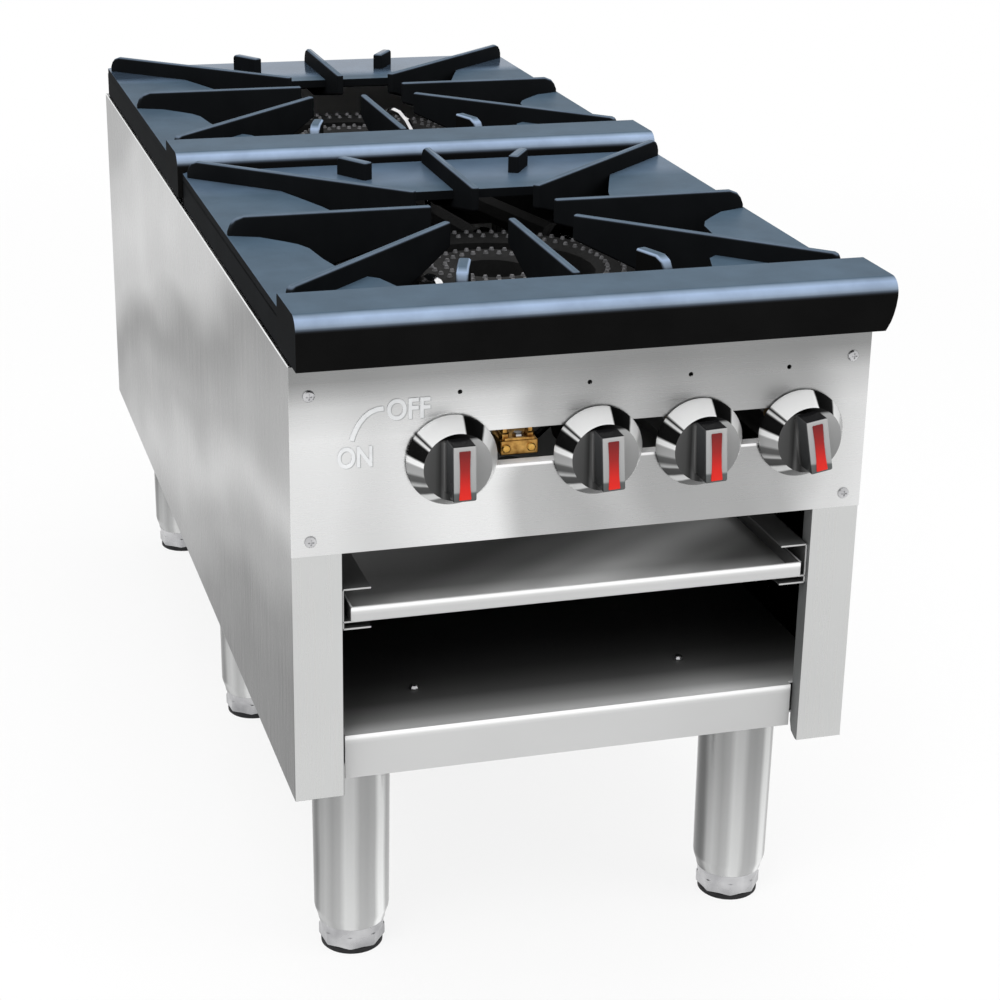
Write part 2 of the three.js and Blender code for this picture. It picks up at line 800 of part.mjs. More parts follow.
// The plates and side strips that carry one burner between the side panels.
function burnerRest(y, tubeHoles, mixers) {
  const reach = innerHalf - seatGap;
  const rise = [restTop - restHeight, restTop];
  const front = y - restSpread;
  const back = y + restSpread;
  const frame = join(
    block([-reach, reach], [front, front + restSheet], rise),
    block([-reach, reach], [back - restSheet, back], rise),
    block([-reach, -reach + restSheet], [front, back], rise),
    block([reach - restSheet, reach], [front, back], rise),
  );
  const notches = mixers.map((points) => mixerNotch(points, front + restSheet / 2));
  return cut(frame, ...tubeHoles, ...notches);
}

const valveRear = valveFront + valveLength;
const hoodEnd = valveRear + hoodLength;
const mixerStart = [hoodEnd - 4, starY[1] - mixerInset];
const orificeStart = mixerStart[1] + 4 - orificeLength;
const ringBottom = burnerTop - burnerHeight;

// Where each ring's mixing tube runs: from its mouth, under the rings, up into its own ring.
function mixerRun(mouthX, mouthY, ringX, ringY) {
  return [
    [mouthX, mouthY, knobZ],
    [mouthX + (ringX - mouthX) * 0.1, mouthY + 22, knobZ + 2],
    [mouthX + (ringX - mouthX) * 0.75, mouthY + (ringY - mouthY) * 0.7, ringBottom - mixerRadius - mixerDip],
    [ringX, ringY - mixerEntry, ringBottom - mixerRadius - 3],
    [ringX, ringY, ringBottom + 4],
  ];
}

const outerMean = (outerRing.inside + outerRing.outside) / 2;
const innerMean = (innerRing.inside + innerRing.outside) / 2;
const outerSpot = [outerMean * Math.sin(0.72), -outerMean * Math.cos(0.72)];
const innerSpot = [innerMean * Math.sin(0.25), -innerMean * Math.cos(0.25)];
const mixerRuns = {
  front_outer: mixerRun(knobX[0], mixerStart[0], -outerSpot[0], starY[0] + outerSpot[1]),
  front_inner: mixerRun(knobX[1], mixerStart[0], innerSpot[0], starY[0] + innerSpot[1]),
  rear_inner: mixerRun(knobX[2], mixerStart[1], innerSpot[0], starY[1] + innerSpot[1]),
  rear_outer: mixerRun(knobX[3], mixerStart[1], outerSpot[0], starY[1] + outerSpot[1]),
};

["front", "rear"].forEach((place, i) => {
  const centre = [0, starY[i], 0];
  for (const [size, ring] of [["outer", outerRing], ["inner", innerRing]]) {
    const run = mixerRuns[`${place}_${size}`].map(([x, y, z]) => [x, y - starY[i], z]);
    addPiece(`${place}_${size}_burner`, ringBurner(ring, run).translate(centre), burnerIron);
  }
  const tubes = [knobX[2], knobX[3]].map((x) =>
    rodY(tubeRadius + seatGap, 0, orificeStart + 1, x, knobZ, 12),
  );
  const mixers = ["outer", "inner"].map((size) => mixerRuns[`${place}_${size}`]);
  addPiece(`${place}_burner_rest`, burnerRest(starY[i], i === 0 ? tubes : [], mixers), steel);
});

// ---------------------------------------------------------------- gas pipes and valves

function manifold() {
  const pipe = rodX(manifoldRadius, manifoldLeft, manifoldRight, manifoldY, manifoldZ, 16);
  const bosses = [...knobX, pilotValveX].map((x) =>
    rod(bossRadius, manifoldZ, bossTop, 12).translate([x, manifoldY, 0]),
  );
  const plug = rodX(plugRadius, manifoldLeft - plugLength, manifoldLeft + 1, manifoldY, manifoldZ, 4);
  return join(pipe, plug, ...bosses);
}

addPiece("gas_manifold", manifold(), blackPipe);

// The supply pipe runs from the manifold's right end along the side panel and out through the back.
function supplyPipe() {
  const start = manifoldRight + seatGap;
  const elbow = join(
    rodX(elbowRadius, start, supplyPipeX + 4, manifoldY, manifoldZ, 14),
    rodY(elbowRadius, manifoldY - elbowRadius * 0.6, manifoldY + 24, supplyPipeX, manifoldZ, 14),
  );
  const pipe = rodY(manifoldRadius, manifoldY, inletEnd, supplyPipeX, manifoldZ, 16);
  const hex = rodY(inletHexRadius, inletEnd - inletHexLength, inletEnd, supplyPipeX, manifoldZ, 6);
  const bore = rodY(manifoldRadius - 3, inletEnd - inletHexLength, inletEnd + 1, supplyPipeX, manifoldZ, 12);
  return cut(join(elbow, pipe, hex), bore);
}

addPiece("gas_supply_pipe", supplyPipe(), blackPipe);

// A valve screws down into a boss of the manifold. Its stem comes out to the front.
function valve(x) {
  const body = rodY(valveRadius, valveFront, valveRear, x, knobZ, 12);
  const spigot = rod(valveSpigotRadius, bossTop + seatGap, knobZ, 12).translate([x, manifoldY, 0]);
  const collar = rodY(valveRadius + 2, valveFront + 8, valveFront + 14, x, knobZ, 6);
  const hood = rodY(hoodRadius - 2, valveRear - 1, hoodEnd - 6, x, knobZ, 8);
  const stemHole = rodY(stemRadius + seatGap, valveFront - 1, valveFront + 9, x, knobZ, 12);
  return cut(join(body, spigot, collar, hood), stemHole);
}

function stem(x) {
  return rodY(stemRadius, knobFace + knobWall + seatGap, valveFront + 8, x, knobZ, 12);
}

// Turns a piece of a knob, made with its front up, to its place in the panel.
function atPanel(made, i) {
  return made.rotate([0, 0, knobTurn[i]]).rotate([90, 0, 0]).translate([knobX[i], knobBack, knobZ]);
}

// The knob is one casting: a cone-shaped skirt, a face and a grip bar right across it.
function knob() {
  const skirt = turned(
    [
      [knobSkirtRadius - knobWall, 0],
      [knobSkirtRadius, 0],
      [knobSkirtRadius, 2],
      [knobFaceRadius + 1.5, knobFaceDepth],
      [knobFaceRadius, knobFaceDepth + 0.8],
      [0, knobFaceDepth],
      [0, knobFaceDepth - knobWall],
      [knobFaceRadius - knobWall, knobFaceDepth - knobWall],
      [knobSkirtRadius - knobWall, 0],
    ],
    28,
  );
  const tip = knobBarTipLength / 2;
  const base = knobFaceRadius - 0.8;
  const bar = prismX(
    [
      [-base, knobFaceDepth - knobWall / 2],
      [base, knobFaceDepth - knobWall / 2],
      [base, knobFaceDepth + 3],
      [tip, knobFaceDepth + knobBarDepth],
      [-tip, knobFaceDepth + knobBarDepth],
      [-base, knobFaceDepth + 3],
    ],
    -knobBarWidth / 2,
    knobBarWidth / 2,
  );
  const hub = rod(knobHubRadius, 1, knobFaceDepth - 1, 12);
  const stemHole = rod(stemRadius + seatGap, 0, knobFaceDepth - knobWall, 12);
  const pocket = pointerBlock(seatGap, 1);
  return cut(join(skirt, hub, bar), stemHole, pocket);
}

// The pointer lies in the lower part of the bar's front; the knob's pocket for it is a little larger.
// In the knob's own frame the front is +z and the bottom is -y.
function pointerBlock(around, above) {
  const half = pointerWidth / 2 + around;
  const top = knobFaceDepth + knobBarDepth;
  const low = -knobBarTipLength / 2 + 2;
  return block(
    [-half, half],
    [low - around, low + pointerLength + around],
    [top - pointerThickness - around, top + above],
  );
}

knobX.forEach((x, i) => {
  addPiece(`valve_${i + 1}`, valve(x), brass);
  addPiece(`valve_stem_${i + 1}`, stem(x), steel);
  addPiece(`knob_${i + 1}`, atPanel(knob(), i), chrome);
  addPiece(`knob_pointer_${i + 1}`, atPanel(pointerBlock(0, 0), i), redPlastic);
});

// The pilot valve feeds both pilots. Its two adjusting screws stand up behind the panel's slot.
function pilotValve() {
  const half = pilotValveWidth / 2;
  const depth = [manifoldY - pilotValveDepth - 8, manifoldY + pilotValveBack];
  const body = block([-half, half], depth, [bossTop + 6, pilotValveTop]);
  const spigot = rod(valveSpigotRadius, bossTop + seatGap, pilotValveTop - 2, 12).translate([
    0,
    manifoldY,
    0,
  ]);
  const screws = [-1, 1].map((sign) =>
    rod(pilotScrewRadius, pilotValveTop - 1, pilotScrewTop, 8).translate([
      sign * pilotScrewSpread,
      depth[0] + pilotValveBack,
      0,
    ]),
  );
  return join(body, spigot, ...screws).translate([pilotValveX, 0, 0]);
}

addPiece("pilot_valve", pilotValve(), brass);

// A pilot tube leaves the pilot valve, runs back under the rings and arches over to its burner.
function pilotTube(port, route) {
  const startX = pilotValveX + port;
  const startY = manifoldY + pilotValveBack + seatGap;
  const startZ = (bossTop + pilotValveTop) / 2;
  const start = [[startX, startY, startZ], [startX, startY + pilotTubeRadius * 4.4, startZ]];
  const rest = route.map(([x, star, y, drop]) => [x, starY[star] + y, bodyTop - drop]);
  return bentRod(start.concat(rest), pilotTubeRadius, 6, 34);
}

addPiece(
  "front_pilot_tube",
  pilotTube(-pilotPortSpread, frontPilotRoute),
  aluminium,
);
addPiece(
  "rear_pilot_tube",
  pilotTube(pilotPortSpread, rearPilotRoute),
  aluminium,
);

// The tubes that feed the rear burner start at the valves' outlets and end in their orifices.
[["inner", 2], ["outer", 3]].forEach(([size, i]) => {
  const start = hoodEnd - 6 + seatGap;
  const tube = rodY(tubeRadius, start, orificeStart + 2, knobX[i], knobZ, 12);
  const orifice = rodY(orificeRadius, orificeStart, orificeStart + orificeLength - 10, knobX[i], knobZ, 6);
  const tip = rodY(hoodRadius - 2, orificeStart, orificeStart + orificeLength - 2, knobX[i], knobZ, 10);
  addPiece(`rear_${size}_supply_tube`, join(tube, orifice, tip), aluminium);
});

group.position.y = -(knobFront + inletEnd) / 2;

export default group;
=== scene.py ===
import math

import bpy
from mathutils import Matrix, Vector


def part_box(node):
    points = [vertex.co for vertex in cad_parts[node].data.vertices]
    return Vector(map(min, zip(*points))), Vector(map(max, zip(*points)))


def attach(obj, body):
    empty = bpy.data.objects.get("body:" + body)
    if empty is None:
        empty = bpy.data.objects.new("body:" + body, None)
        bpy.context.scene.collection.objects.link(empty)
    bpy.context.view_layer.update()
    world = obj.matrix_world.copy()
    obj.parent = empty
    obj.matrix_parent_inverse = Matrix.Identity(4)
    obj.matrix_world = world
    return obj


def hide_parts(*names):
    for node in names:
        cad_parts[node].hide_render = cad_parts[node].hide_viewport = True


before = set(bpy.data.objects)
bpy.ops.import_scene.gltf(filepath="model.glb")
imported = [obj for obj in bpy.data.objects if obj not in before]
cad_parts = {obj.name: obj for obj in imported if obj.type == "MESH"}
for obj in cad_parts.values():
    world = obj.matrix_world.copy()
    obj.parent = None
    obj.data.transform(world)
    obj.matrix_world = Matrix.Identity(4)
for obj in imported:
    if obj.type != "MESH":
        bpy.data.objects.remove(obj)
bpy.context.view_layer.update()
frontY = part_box("left_side_panel")[0][1]  # where the columns' front faces are, along the row's y


# Places are in mm: x from the middle, y back from the columns' front, z up from the floor.
def place(x, y, z):
    return Vector((x / 1000, y / 1000 + frontY, z / 1000))


def inMm(spot):
    return (Vector(spot) - Vector((0, frontY, 0))) * 1000


cameraSettings = {
    "eye": (-525.08, -1525.07, 1023.35),
    "turn": (68.9636, -0.9521, -16.32),  # degrees
    "lens": 81.47,
}


def newObject(name, data):
    made = bpy.data.objects.new(name, data)
    bpy.context.scene.collection.objects.link(made)
    return made


def addCamera(settings):
    data = bpy.data.cameras.new("photoCamera")
    data.lens = settings["lens"]
    data.sensor_width = 36
    data.clip_end = 200
    camera = newObject("photoCamera", data)
    camera.location = place(*settings["eye"])
    camera.rotation_euler = [math.radians(angle) for angle in settings["turn"]]
    bpy.context.scene.camera = camera


addCamera(cameraSettings)
bpy.context.scene.view_settings.view_transform = "Standard"
print("camera placed")


def clearSelection():
    if bpy.context.mode != "OBJECT":
        bpy.ops.object.mode_set(mode="OBJECT")
    bpy.ops.object.select_all(action="DESELECT")


# Gives a node's inputs their values, or links them where the value is another node's socket.
def feed(tree, node, inputs):
    for key, value in inputs.items():
        if isinstance(value, bpy.types.NodeSocket):
            tree.links.new(value, node.inputs[key])
        else:
            node.inputs[key].default_value = value


def addNode(tree, kind, inputs, **settings):
    made = tree.nodes.new(f"ShaderNode{kind}")
    for key, value in settings.items():
        setattr(made, key, value)
    feed(tree, made, inputs)
    return made


def calculated(tree, kind, first, second=0):
    return addNode(tree, "Math", {0: first, 1: second}, operation=kind).outputs[0]


# A reading from fromLow to fromHigh becomes one from low to high, and stays within these.
def spread(tree, reading, low, high, fromLow=0.3, fromHigh=0.7):
    inputs = {0: reading, 1: fromLow, 2: fromHigh, 3: low, 4: high}
    return addNode(tree, "MapRange", inputs).outputs[0]


# Where a reading lies between two others: 0 at the first and 1 at the last.
def shareOf(tree, reading, first, last):
    return spread(tree, reading, 0, 1, first, last)


# What shows to the camera, to metal and to glass: 1 for those rays, 0 for diffuse light.
def seenRays(tree):
    path = addNode(tree, "LightPath", {}).outputs
    mirrored = calculated(tree, "MAXIMUM", path["Is Camera Ray"], path["Is Glossy Ray"])
    return calculated(tree, "MAXIMUM", mirrored, path["Is Transmission Ray"])


lightSettings = {
    "skyLight": 0.62,
    "floorRadius": 30,  # m
    "floorFade": (0.9, 2.6),  # m from the middle
    "floorClear": (0.86, 1),  # how clear the paper is to the camera, before the fade and after it
    "floorColour": (0.9, 0.9, 0.9, 1),
    "lampsAimAt": (0, 0, 0.35),  # m
    "lamps": [
        # name, place in mm, size in m, watts
        ("keySoftbox", (-1500, -1300, 2300), 1.6, 34),
        ("rightSoftbox", (1700, -900, 1500), 1.4, 12),
        ("topSoftbox", (100, 600, 2400), 1.8, 26),
    ],
}


def addWorld(settings):
    world = bpy.data.worlds.new("studio")
    bpy.context.scene.world = world
    world.use_nodes = True
    tree = world.node_tree
    tree.nodes.clear()
    strength = spread(tree, seenRays(tree), settings["skyLight"], 1, 0, 1)
    sky = addNode(tree, "Background", {"Color": (1, 1, 1, 1), "Strength": strength})
    addNode(tree, "OutputWorld", {"Surface": sky.outputs[0]})


# The camera sees the pale paper only faintly, with the shadows on it, and the white sky behind it, so a foot
# that is screwed out below the floor's level still shows.
def addFloor(settings):
    clearSelection()
    bpy.ops.mesh.primitive_circle_add(vertices=96, radius=settings["floorRadius"], fill_type="NGON")
    floor = bpy.context.object
    floor.name = "studioFloor"
    material, tree, paper = newFinish("studioPaper", 0.9, 0)
    feed(tree, paper, {"Base Color": settings["floorColour"], "Specular IOR Level": 0.1})
    away = addNode(tree, "VectorMath", {0: objectPlace(tree)}, operation="LENGTH").outputs["Value"]
    clearness = spread(tree, away, *settings["floorClear"], *settings["floorFade"])
    share = calculated(tree, "MULTIPLY", seenRays(tree), clearness)
    clear = addNode(tree, "BsdfTransparent", {}).outputs[0]
    both = addNode(tree, "MixShader", {0: share, 1: paper.outputs[0], 2: clear})
    tree.links.new(both.outputs[0], tree.nodes["Material Output"].inputs["Surface"])
    floor.data.materials.append(material)


def addLamps(settings):
    target = Vector(settings["lampsAimAt"])
    for name, spot, size, watts in settings["lamps"]:
        data = bpy.data.lights.new(name, "AREA")
        data.size = size
        data.energy = watts
        lamp = newObject(name, data)
        lamp.location = place(*spot)
        lamp.rotation_euler = (target - lamp.location).to_track_quat("-Z", "Y").to_euler()
        lamp.visible_camera = False
        lamp.visible_glossy = False


def newFinish(name, roughness, metallic):
    material = bpy.data.materials.new(name)
    material.use_nodes = True
    shader = material.node_tree.nodes["Principled BSDF"]
    feed(material.node_tree, shader, {"Roughness": roughness, "Metallic": metallic})
    return material, material.node_tree, shader


def objectPlace(tree, scale=(1, 1, 1), shift=(0, 0, 0)):
    here = addNode(tree, "TexCoord", {}).outputs["Object"]
    return addNode(tree, "Mapping", {"Vector": here, "Scale": scale, "Location": shift}).outputs[0]


addWorld(lightSettings)
addFloor(lightSettings)
addLamps(lightSettings)
print("studio lit")


def partsOf(tree, vector):
    return addNode(tree, "SeparateXYZ", {0: vector}).outputs


def normalOf(tree):
    return partsOf(tree, addNode(tree, "NewGeometry", {}).outputs["Normal"])


def noiseAt(tree, vector, scale, detail=3, roughness=0.5):
    inputs = {"Vector": vector, "Scale": scale, "Detail": detail, "Roughness": roughness}
    return addNode(tree, "TexNoise", inputs).outputs["Fac"]


# Two colours, or sockets with colours, in one.
def mixed(tree, factor, first, second, kind="MIX"):
    first, second = [(*end, 1) if isinstance(end, tuple) else end for end in (first, second)]
    inputs = {0: factor, 6: first, 7: second}
    return addNode(tree, "Mix", inputs, data_type="RGBA", blend_type=kind).outputs[2]


def multiplied(tree, first, second):
    return mixed(tree, 1, first, second, "MULTIPLY")


def blendStops(tree, factor, stops, mode="LINEAR"):
    ramp = addNode(tree, "ValToRGB", {"Fac": factor})
    ramp.color_ramp.interpolation = mode
    points = ramp.color_ramp.elements
    while len(points) < len(stops):
        points.new(0.5)
    for point, (position, colour) in zip(points, stops):
        point.position = position
        point.color = (*colour, 1)
    return ramp.outputs["Color"]


# Stops of plain grey, with the faint green of steel.
def greyBlend(tree, factor, stops, mode="LINEAR"):
    return blendStops(tree, factor, [(at, (grey, grey * 1.004, grey * 1.002)) for at, grey in stops], mode)


def mottled(tree, colour, scale, low, high):
    return multiplied(tree, colour, spread(tree, noiseAt(tree, objectPlace(tree), scale, 4, 0.6), low, high))


# A reading that wavers a little from place to place, so that no band is quite straight.
def wavering(tree, reading, stretch, scale, by):
    wave = noiseAt(tree, objectPlace(tree, stretch), scale, 2)
    return calculated(tree, "ADD", reading, spread(tree, wave, -by, by))


def bumpOf(tree, shader, height, strength, distance):
    bump = addNode(tree, "Bump", {"Height": height, "Strength": strength, "Distance": distance})
    tree.links.new(bump.outputs[0], shader.inputs["Normal"])


steelSettings = {
    "dark": 0.8,  # what the clouds do to the tone, from darkest to lightest
    "light": 1.14,
    "roughness": (0.24, 0.34),
    "grainScale": (420, 9),  # across and along the grain
    "grain": 0.015,
    "streaks": 0.012,
    "edgeTint": 1,  # how bright it stays where it is seen aslant
}
sideSettings = {**steelSettings, "dark": 0.93, "light": 1.07, "edgeTint": 0.7, "grain": 0.01}
baySettings = {
    **steelSettings, "dark": 0.9, "light": 1.08, "grain": 0.002, "streaks": 0.004, "roughness": (0.31, 0.34),
}


# How far a place lies along one direction, as a share of the way from start to end, in mm.
def alongDirection(tree, direction, start, end):
    shifted = objectPlace(tree, shift=(0, -frontY, 0))
    reach = addNode(tree, "VectorMath", {0: shifted, 1: direction}, operation="DOT_PRODUCT")
    return shareOf(tree, reach.outputs["Value"], start / 1000, end / 1000)


# Brushed stainless steel. Its grain runs along one axis, and soft clouds of painted reflection lie over it.
# toneOf gives the steel's broad tone at a place: painted reflection of the room, and painted shade where it
# has any.
def brushedSteel(name, settings, grainAxis, toneOf, cloudScale, seed, roughShift=0, metal=1):
    material, tree, shader = newFinish(name, 0.3, metal)
    across, along = settings["grainScale"]
    stretch = [along if axis == grainAxis else across for axis in "xyz"]
    grain = noiseAt(tree, objectPlace(tree, stretch), 1, 2)
    clouds = noiseAt(tree, objectPlace(tree, cloudScale, (seed, seed, seed)), 3.4, 2.5, 0.45)
    base = multiplied(tree, toneOf(tree), spread(tree, clouds, settings["dark"], settings["light"]))
    hairlines = blendStops(tree, grain, [(0.3, (0.2, 0.2, 0.2)), (0.7, (1, 1, 1))])
    brushed = mixed(tree, settings["streaks"], base, hairlines, "OVERLAY")
    low, high = settings["roughness"]
    feed(tree, shader, {
        "Base Color": brushed,
        "Specular Tint": (*[settings["edgeTint"]] * 3, 1),
        "Roughness": spread(tree, grain, low + roughShift, high + roughShift),
    })
    bumpOf(tree, shader, grain, settings["grain"], 0.0002)
    return material


# Painted shade and painted sky light: tones by how far a face looks up, from -1 to 1.
ironSettings = {
    "casting": [
        (-1, (0.003, 0.003, 0.004)), (0.15, (0.008, 0.009, 0.01)), (0.45, (0.014, 0.017, 0.021)),
        (0.72, (0.1, 0.13, 0.175)), (0.95, (0.105, 0.14, 0.18)), (1, (0.075, 0.1, 0.128)),
    ],
    # a painted highlight on a rail's rounded nose, by how far it looks up
    "nose": [
        (-1, (0.002, 0.002, 0.002)), (0.02, (0.006, 0.006, 0.006)), (0.12, (0.018, 0.02, 0.024)),
        (0.24, (0.08, 0.1, 0.13)), (0.34, (0.2, 0.25, 0.32)), (0.5, (0.25, 0.32, 0.43)),
        (0.78, (0.27, 0.35, 0.49)), (0.92, (0.17, 0.225, 0.3)), (1, (0.065, 0.095, 0.128)),
    ],
    "roughness": 0.5,
    "clearness": 1.025,  # index of refraction
}


# Black enamelled cast iron with painted shade on its flanks and painted slate sky light where it turns up. On
# a rail, the rounded nose to the front gets a painted highlight, the brightest, and the edges to the back
# stay plain.
def enamelledIron(name, settings, nose=False):
    material, tree, shader = newFinish(name, settings["roughness"], 0)
    normal = normalOf(tree)
    facing = shareOf(tree, normal["Z"], -1, 1)

    def toneBy(stops):
        return blendStops(tree, facing, [((up + 1) / 2, colour) for up, colour in stops])

    base = toneBy(settings["casting"])
    # a rail's nose gets its painted highlight
    if nose:
        base = mixed(tree, shareOf(tree, normal["Y"], 0.02, -0.06), base, toneBy(settings["nose"]))
    feed(tree, shader, {"Base Color": mottled(tree, base, 26, 0.86, 1.12), "IOR": settings["clearness"]})
    bumpOf(tree, shader, noiseAt(tree, objectPlace(tree), 900, 3, 0.6), 0.12, 0.0003)
    return material


def bareIron(name, dark, light, roughness):
    material, tree, shader = newFinish(name, roughness, 0.3)
    grit = noiseAt(tree, objectPlace(tree), 260, 4, 0.65)
    feed(tree, shader, {"Base Color": blendStops(tree, grit, [(0.3, dark), (0.7, light)])})
    bumpOf(tree, shader, grit, 0.35, 0.0005)
    return material


def plainMetal(name, dark, light, roughness, scale=60, metal=1):
    material, tree, shader = newFinish(name, roughness, metal)
    tone = noiseAt(tree, objectPlace(tree), scale, 3)
    colour = blendStops(tree, tone, [(0.32, dark), (0.68, light)])
    polish = spread(tree, tone, roughness * 0.8, roughness * 1.25)
    feed(tree, shader, {"Base Color": colour, "Roughness": polish})
    bumpOf(tree, shader, noiseAt(tree, objectPlace(tree), scale * 14, 2), 0.06, 0.0002)
    return material


# The sides get painted reflection in slanting bands, and the column fronts a plainer one; inner faces get
# painted shade.
sideReflectionBands = [
    (0, 0.19), (0.1, 0.2), (0.18, 0.25), (0.27, 0.45), (0.365, 0.72), (0.46, 0.46), (0.55, 0.3),
    (0.645, 0.72), (0.74, 0.8), (0.83, 0.7), (0.92, 0.5), (1, 0.44),
]


def sideTone(tree):
    slant = wavering(tree, alongDirection(tree, (0, 1 / 3, 1), 180, 900), (1, 1, 2), 2.2, 0.06)
    outer = greyBlend(tree, slant, sideReflectionBands, "EASE")
    normal = normalOf(tree)
    column = mixed(tree, shareOf(tree, normal["Y"], -0.7, -0.9), outer, (0.6, 0.605, 0.6))
    inward = calculated(tree, "MULTIPLY", normal["X"], partsOf(tree, objectPlace(tree))["X"])
    return mixed(tree, shareOf(tree, inward, -0.05, -0.12), column, (0.016, 0.016, 0.017))


panelReflectionBands = [
    (0, 0.88), (0.1, 0.86), (0.18, 0.75), (0.3, 0.8), (0.365, 0.78), (0.42, 0.46), (0.5, 0.42),
    (0.56, 0.52), (0.62, 0.45), (0.75, 0.41), (0.82, 0.46), (0.91, 0.74), (1, 0.8),
]
panelTopShade = [(0, 0), (0.43, 0.36), (0.6, 0.7), (0.78, 0.97), (1, 1)]
lipHighlightByHeight = [(0, 0), (0.62, 0), (0.7, 1), (0.83, 1), (0.87, 0), (1, 0)]
lipHighlightByLength = [(0, 0), (0.02, 1), (0.98, 1), (1, 0)]


# The panel gets painted reflection in upright bands, painted shade under the grate, and a painted highlight
# on the lip under its slot.
def panelTone(tree):
    across = wavering(tree, alongDirection(tree, (1, 0, 0.12), -190, 300), (1, 1, 2), 5, 0.035)
    shaded = greyBlend(tree, alongDirection(tree, (0, 0, 1), 470, 528), panelTopShade)
    plain = mixed(tree, shaded, greyBlend(tree, across, panelReflectionBands, "EASE"), (0.29, 0.292, 0.291))
    height = greyBlend(tree, alongDirection(tree, (0, 0, 1), 430, 442), lipHighlightByHeight)
    length = greyBlend(tree, alongDirection(tree, (1, 0, 0), -80, 170), lipHighlightByLength)
    return mixed(tree, multiplied(tree, height, length), plain, (1, 1, 1))


# Upward faces fade from painted light at the front into painted shade deep in the bay, with a slanting
# painted pool of light on them. A front face is plain below the fold's limits in height and brightens towards
# the upper one as a painted highlight. The rest gets painted shade.
def bayTone(fades):
    def tone(tree):
        normal = normalOf(tree)
        depth = alongDirection(tree, (0, 1, 0), 0, 400)
        across = alongDirection(tree, (1, -fades["slant"], 0), *fades["span"])
        light = greyBlend(tree, across, fades["across"], "EASE")
        pool = multiplied(tree, greyBlend(tree, depth, fades["depth"]), light)
        floor = mixed(tree, 1, pool, greyBlend(tree, depth, fades["paintedFrontLight"]), "ADD")
        upright = greyBlend(tree, alongDirection(tree, (0, 0, 1), *fades["fold"]), foldHighlightTones)
        upright = mixed(tree, shareOf(tree, normal["Y"], -0.5, -0.2), upright, (0.1, 0.1, 0.1))
        return mixed(tree, shareOf(tree, normal["Z"], 0.9, 0.98), upright, floor)

    return tone


# a painted highlight on front faces towards the fold
foldHighlightTones = [(0, 0.54), (0.4, 0.62), (0.75, 0.97), (1, 0.97)]
# For the deck, the tray and the runners: depth is painted shade into the bay, across a painted pool of light,
# and the front key painted light near the front.
deckFades = {
    "depth": [(0, 1), (0.04, 1), (0.075, 0.52), (0.15, 0.16), (0.25, 0.07), (0.4, 0.04), (1, 0.03)],
    "across": [(0, 0.72), (0.1, 0.64), (0.65, 0.76), (0.82, 1), (1, 0.72)],
    "slant": 0,
    "span": (-185, 185),
    "paintedFrontLight": [(0, 0.02), (1, 0.008)],
    "fold": (214.5, 221.5),
}
trayFades = {
    "depth": [(0, 0.5), (0.15, 1), (1, 1)],
    "across": [
        (0, 0.13), (0.3, 0.1), (0.42, 0.24), (0.52, 0.5), (0.61, 0.8), (0.72, 0.36), (0.8, 0.16), (1, 0.1),
    ],
    "slant": 1.5,
    "span": (-400, 200),
    "paintedFrontLight": [(0, 0.6), (0.055, 0.5), (0.085, 0.3), (0.12, 0.06), (0.2, 0), (1, 0.02)],
    "fold": (328.5, 334),
}
runnerFades = {
    **deckFades,
    "depth": [(0, 0.16), (0.04, 0.08), (1, 0.06)],
    "across": [(0, 0.7), (1, 1)],
    "paintedFrontLight": [(0, 0), (1, 0)],
    "fold": (400, 410),
}

legReflectionBands = [
    (0, 0.12), (0.02, 0.16), (0.05, 0.36), (0.1, 0.42), (0.17, 0.34), (0.25, 0.4), (0.31, 0.56),
    (0.42, 0.54), (0.5, 0.38), (0.6, 0.36), (0.7, 0.4), (0.76, 0.72), (0.83, 0.74), (0.88, 0.36),
    (0.95, 0.26), (1, 0.12),
]
legLightByHeight = [(0, 1.3), (0.35, 1.12), (0.7, 0.92), (1, 0.8)]


# A polished tube gets painted reflection: upright bands of light and dark by the way its face turns, brighter
# towards its foot.
def legTone(tree):
    turned = shareOf(tree, normalOf(tree)["X"], -1, 1)
    bands = greyBlend(tree, wavering(tree, turned, (1, 1, 0.5), 9, 0.03), legReflectionBands)
    return multiplied(tree, bands, greyBlend(tree, alongDirection(tree, (0, 0, 1), 20, 186), legLightByHeight))


panelSteel = brushedSteel("panelSteel", steelSettings, "x", panelTone, (1.6, 1, 0.7), 1.3)
sideSteel = brushedSteel("sideSteel", sideSettings, "z", sideTone, (1, 1.6, 1.2), 4.1)
shelfSteel = brushedSteel("shelfSteel", baySettings, "x", bayTone(deckFades), (1, 1, 1), 7.7, metal=0.3)
traySteel = brushedSteel("traySteel", baySettings, "x", bayTone(trayFades), (1, 1, 1), 5.2, metal=0.3)
runnerSteel = brushedSteel("runnerSteel", baySettings, "y", bayTone(runnerFades), (1, 1, 1), 6.3, metal=0.3)
# The back panel gets the sides' painted reflection bands and painted shade.
backSteel = brushedSteel("backSteel", baySettings, "z", sideTone, (1, 1, 1), 3.3, metal=0.6)
legSteel = brushedSteel("legSteel", steelSettings, "z", legTone, (2, 2, 0.6), 2.9, -0.08)
castEnamelShadeByFacing = enamelledIron("castEnamelShadeByFacing", ironSettings)
railEnamelNoseHighlight = enamelledIron("railEnamelNoseHighlight", ironSettings, nose=True)
# The burners' own dark iron, darkened to near black as painted shade.
burnerIron = bareIron("burnerIron", (0.002, 0.002, 0.002), (0.006, 0.006, 0.006), 0.8)
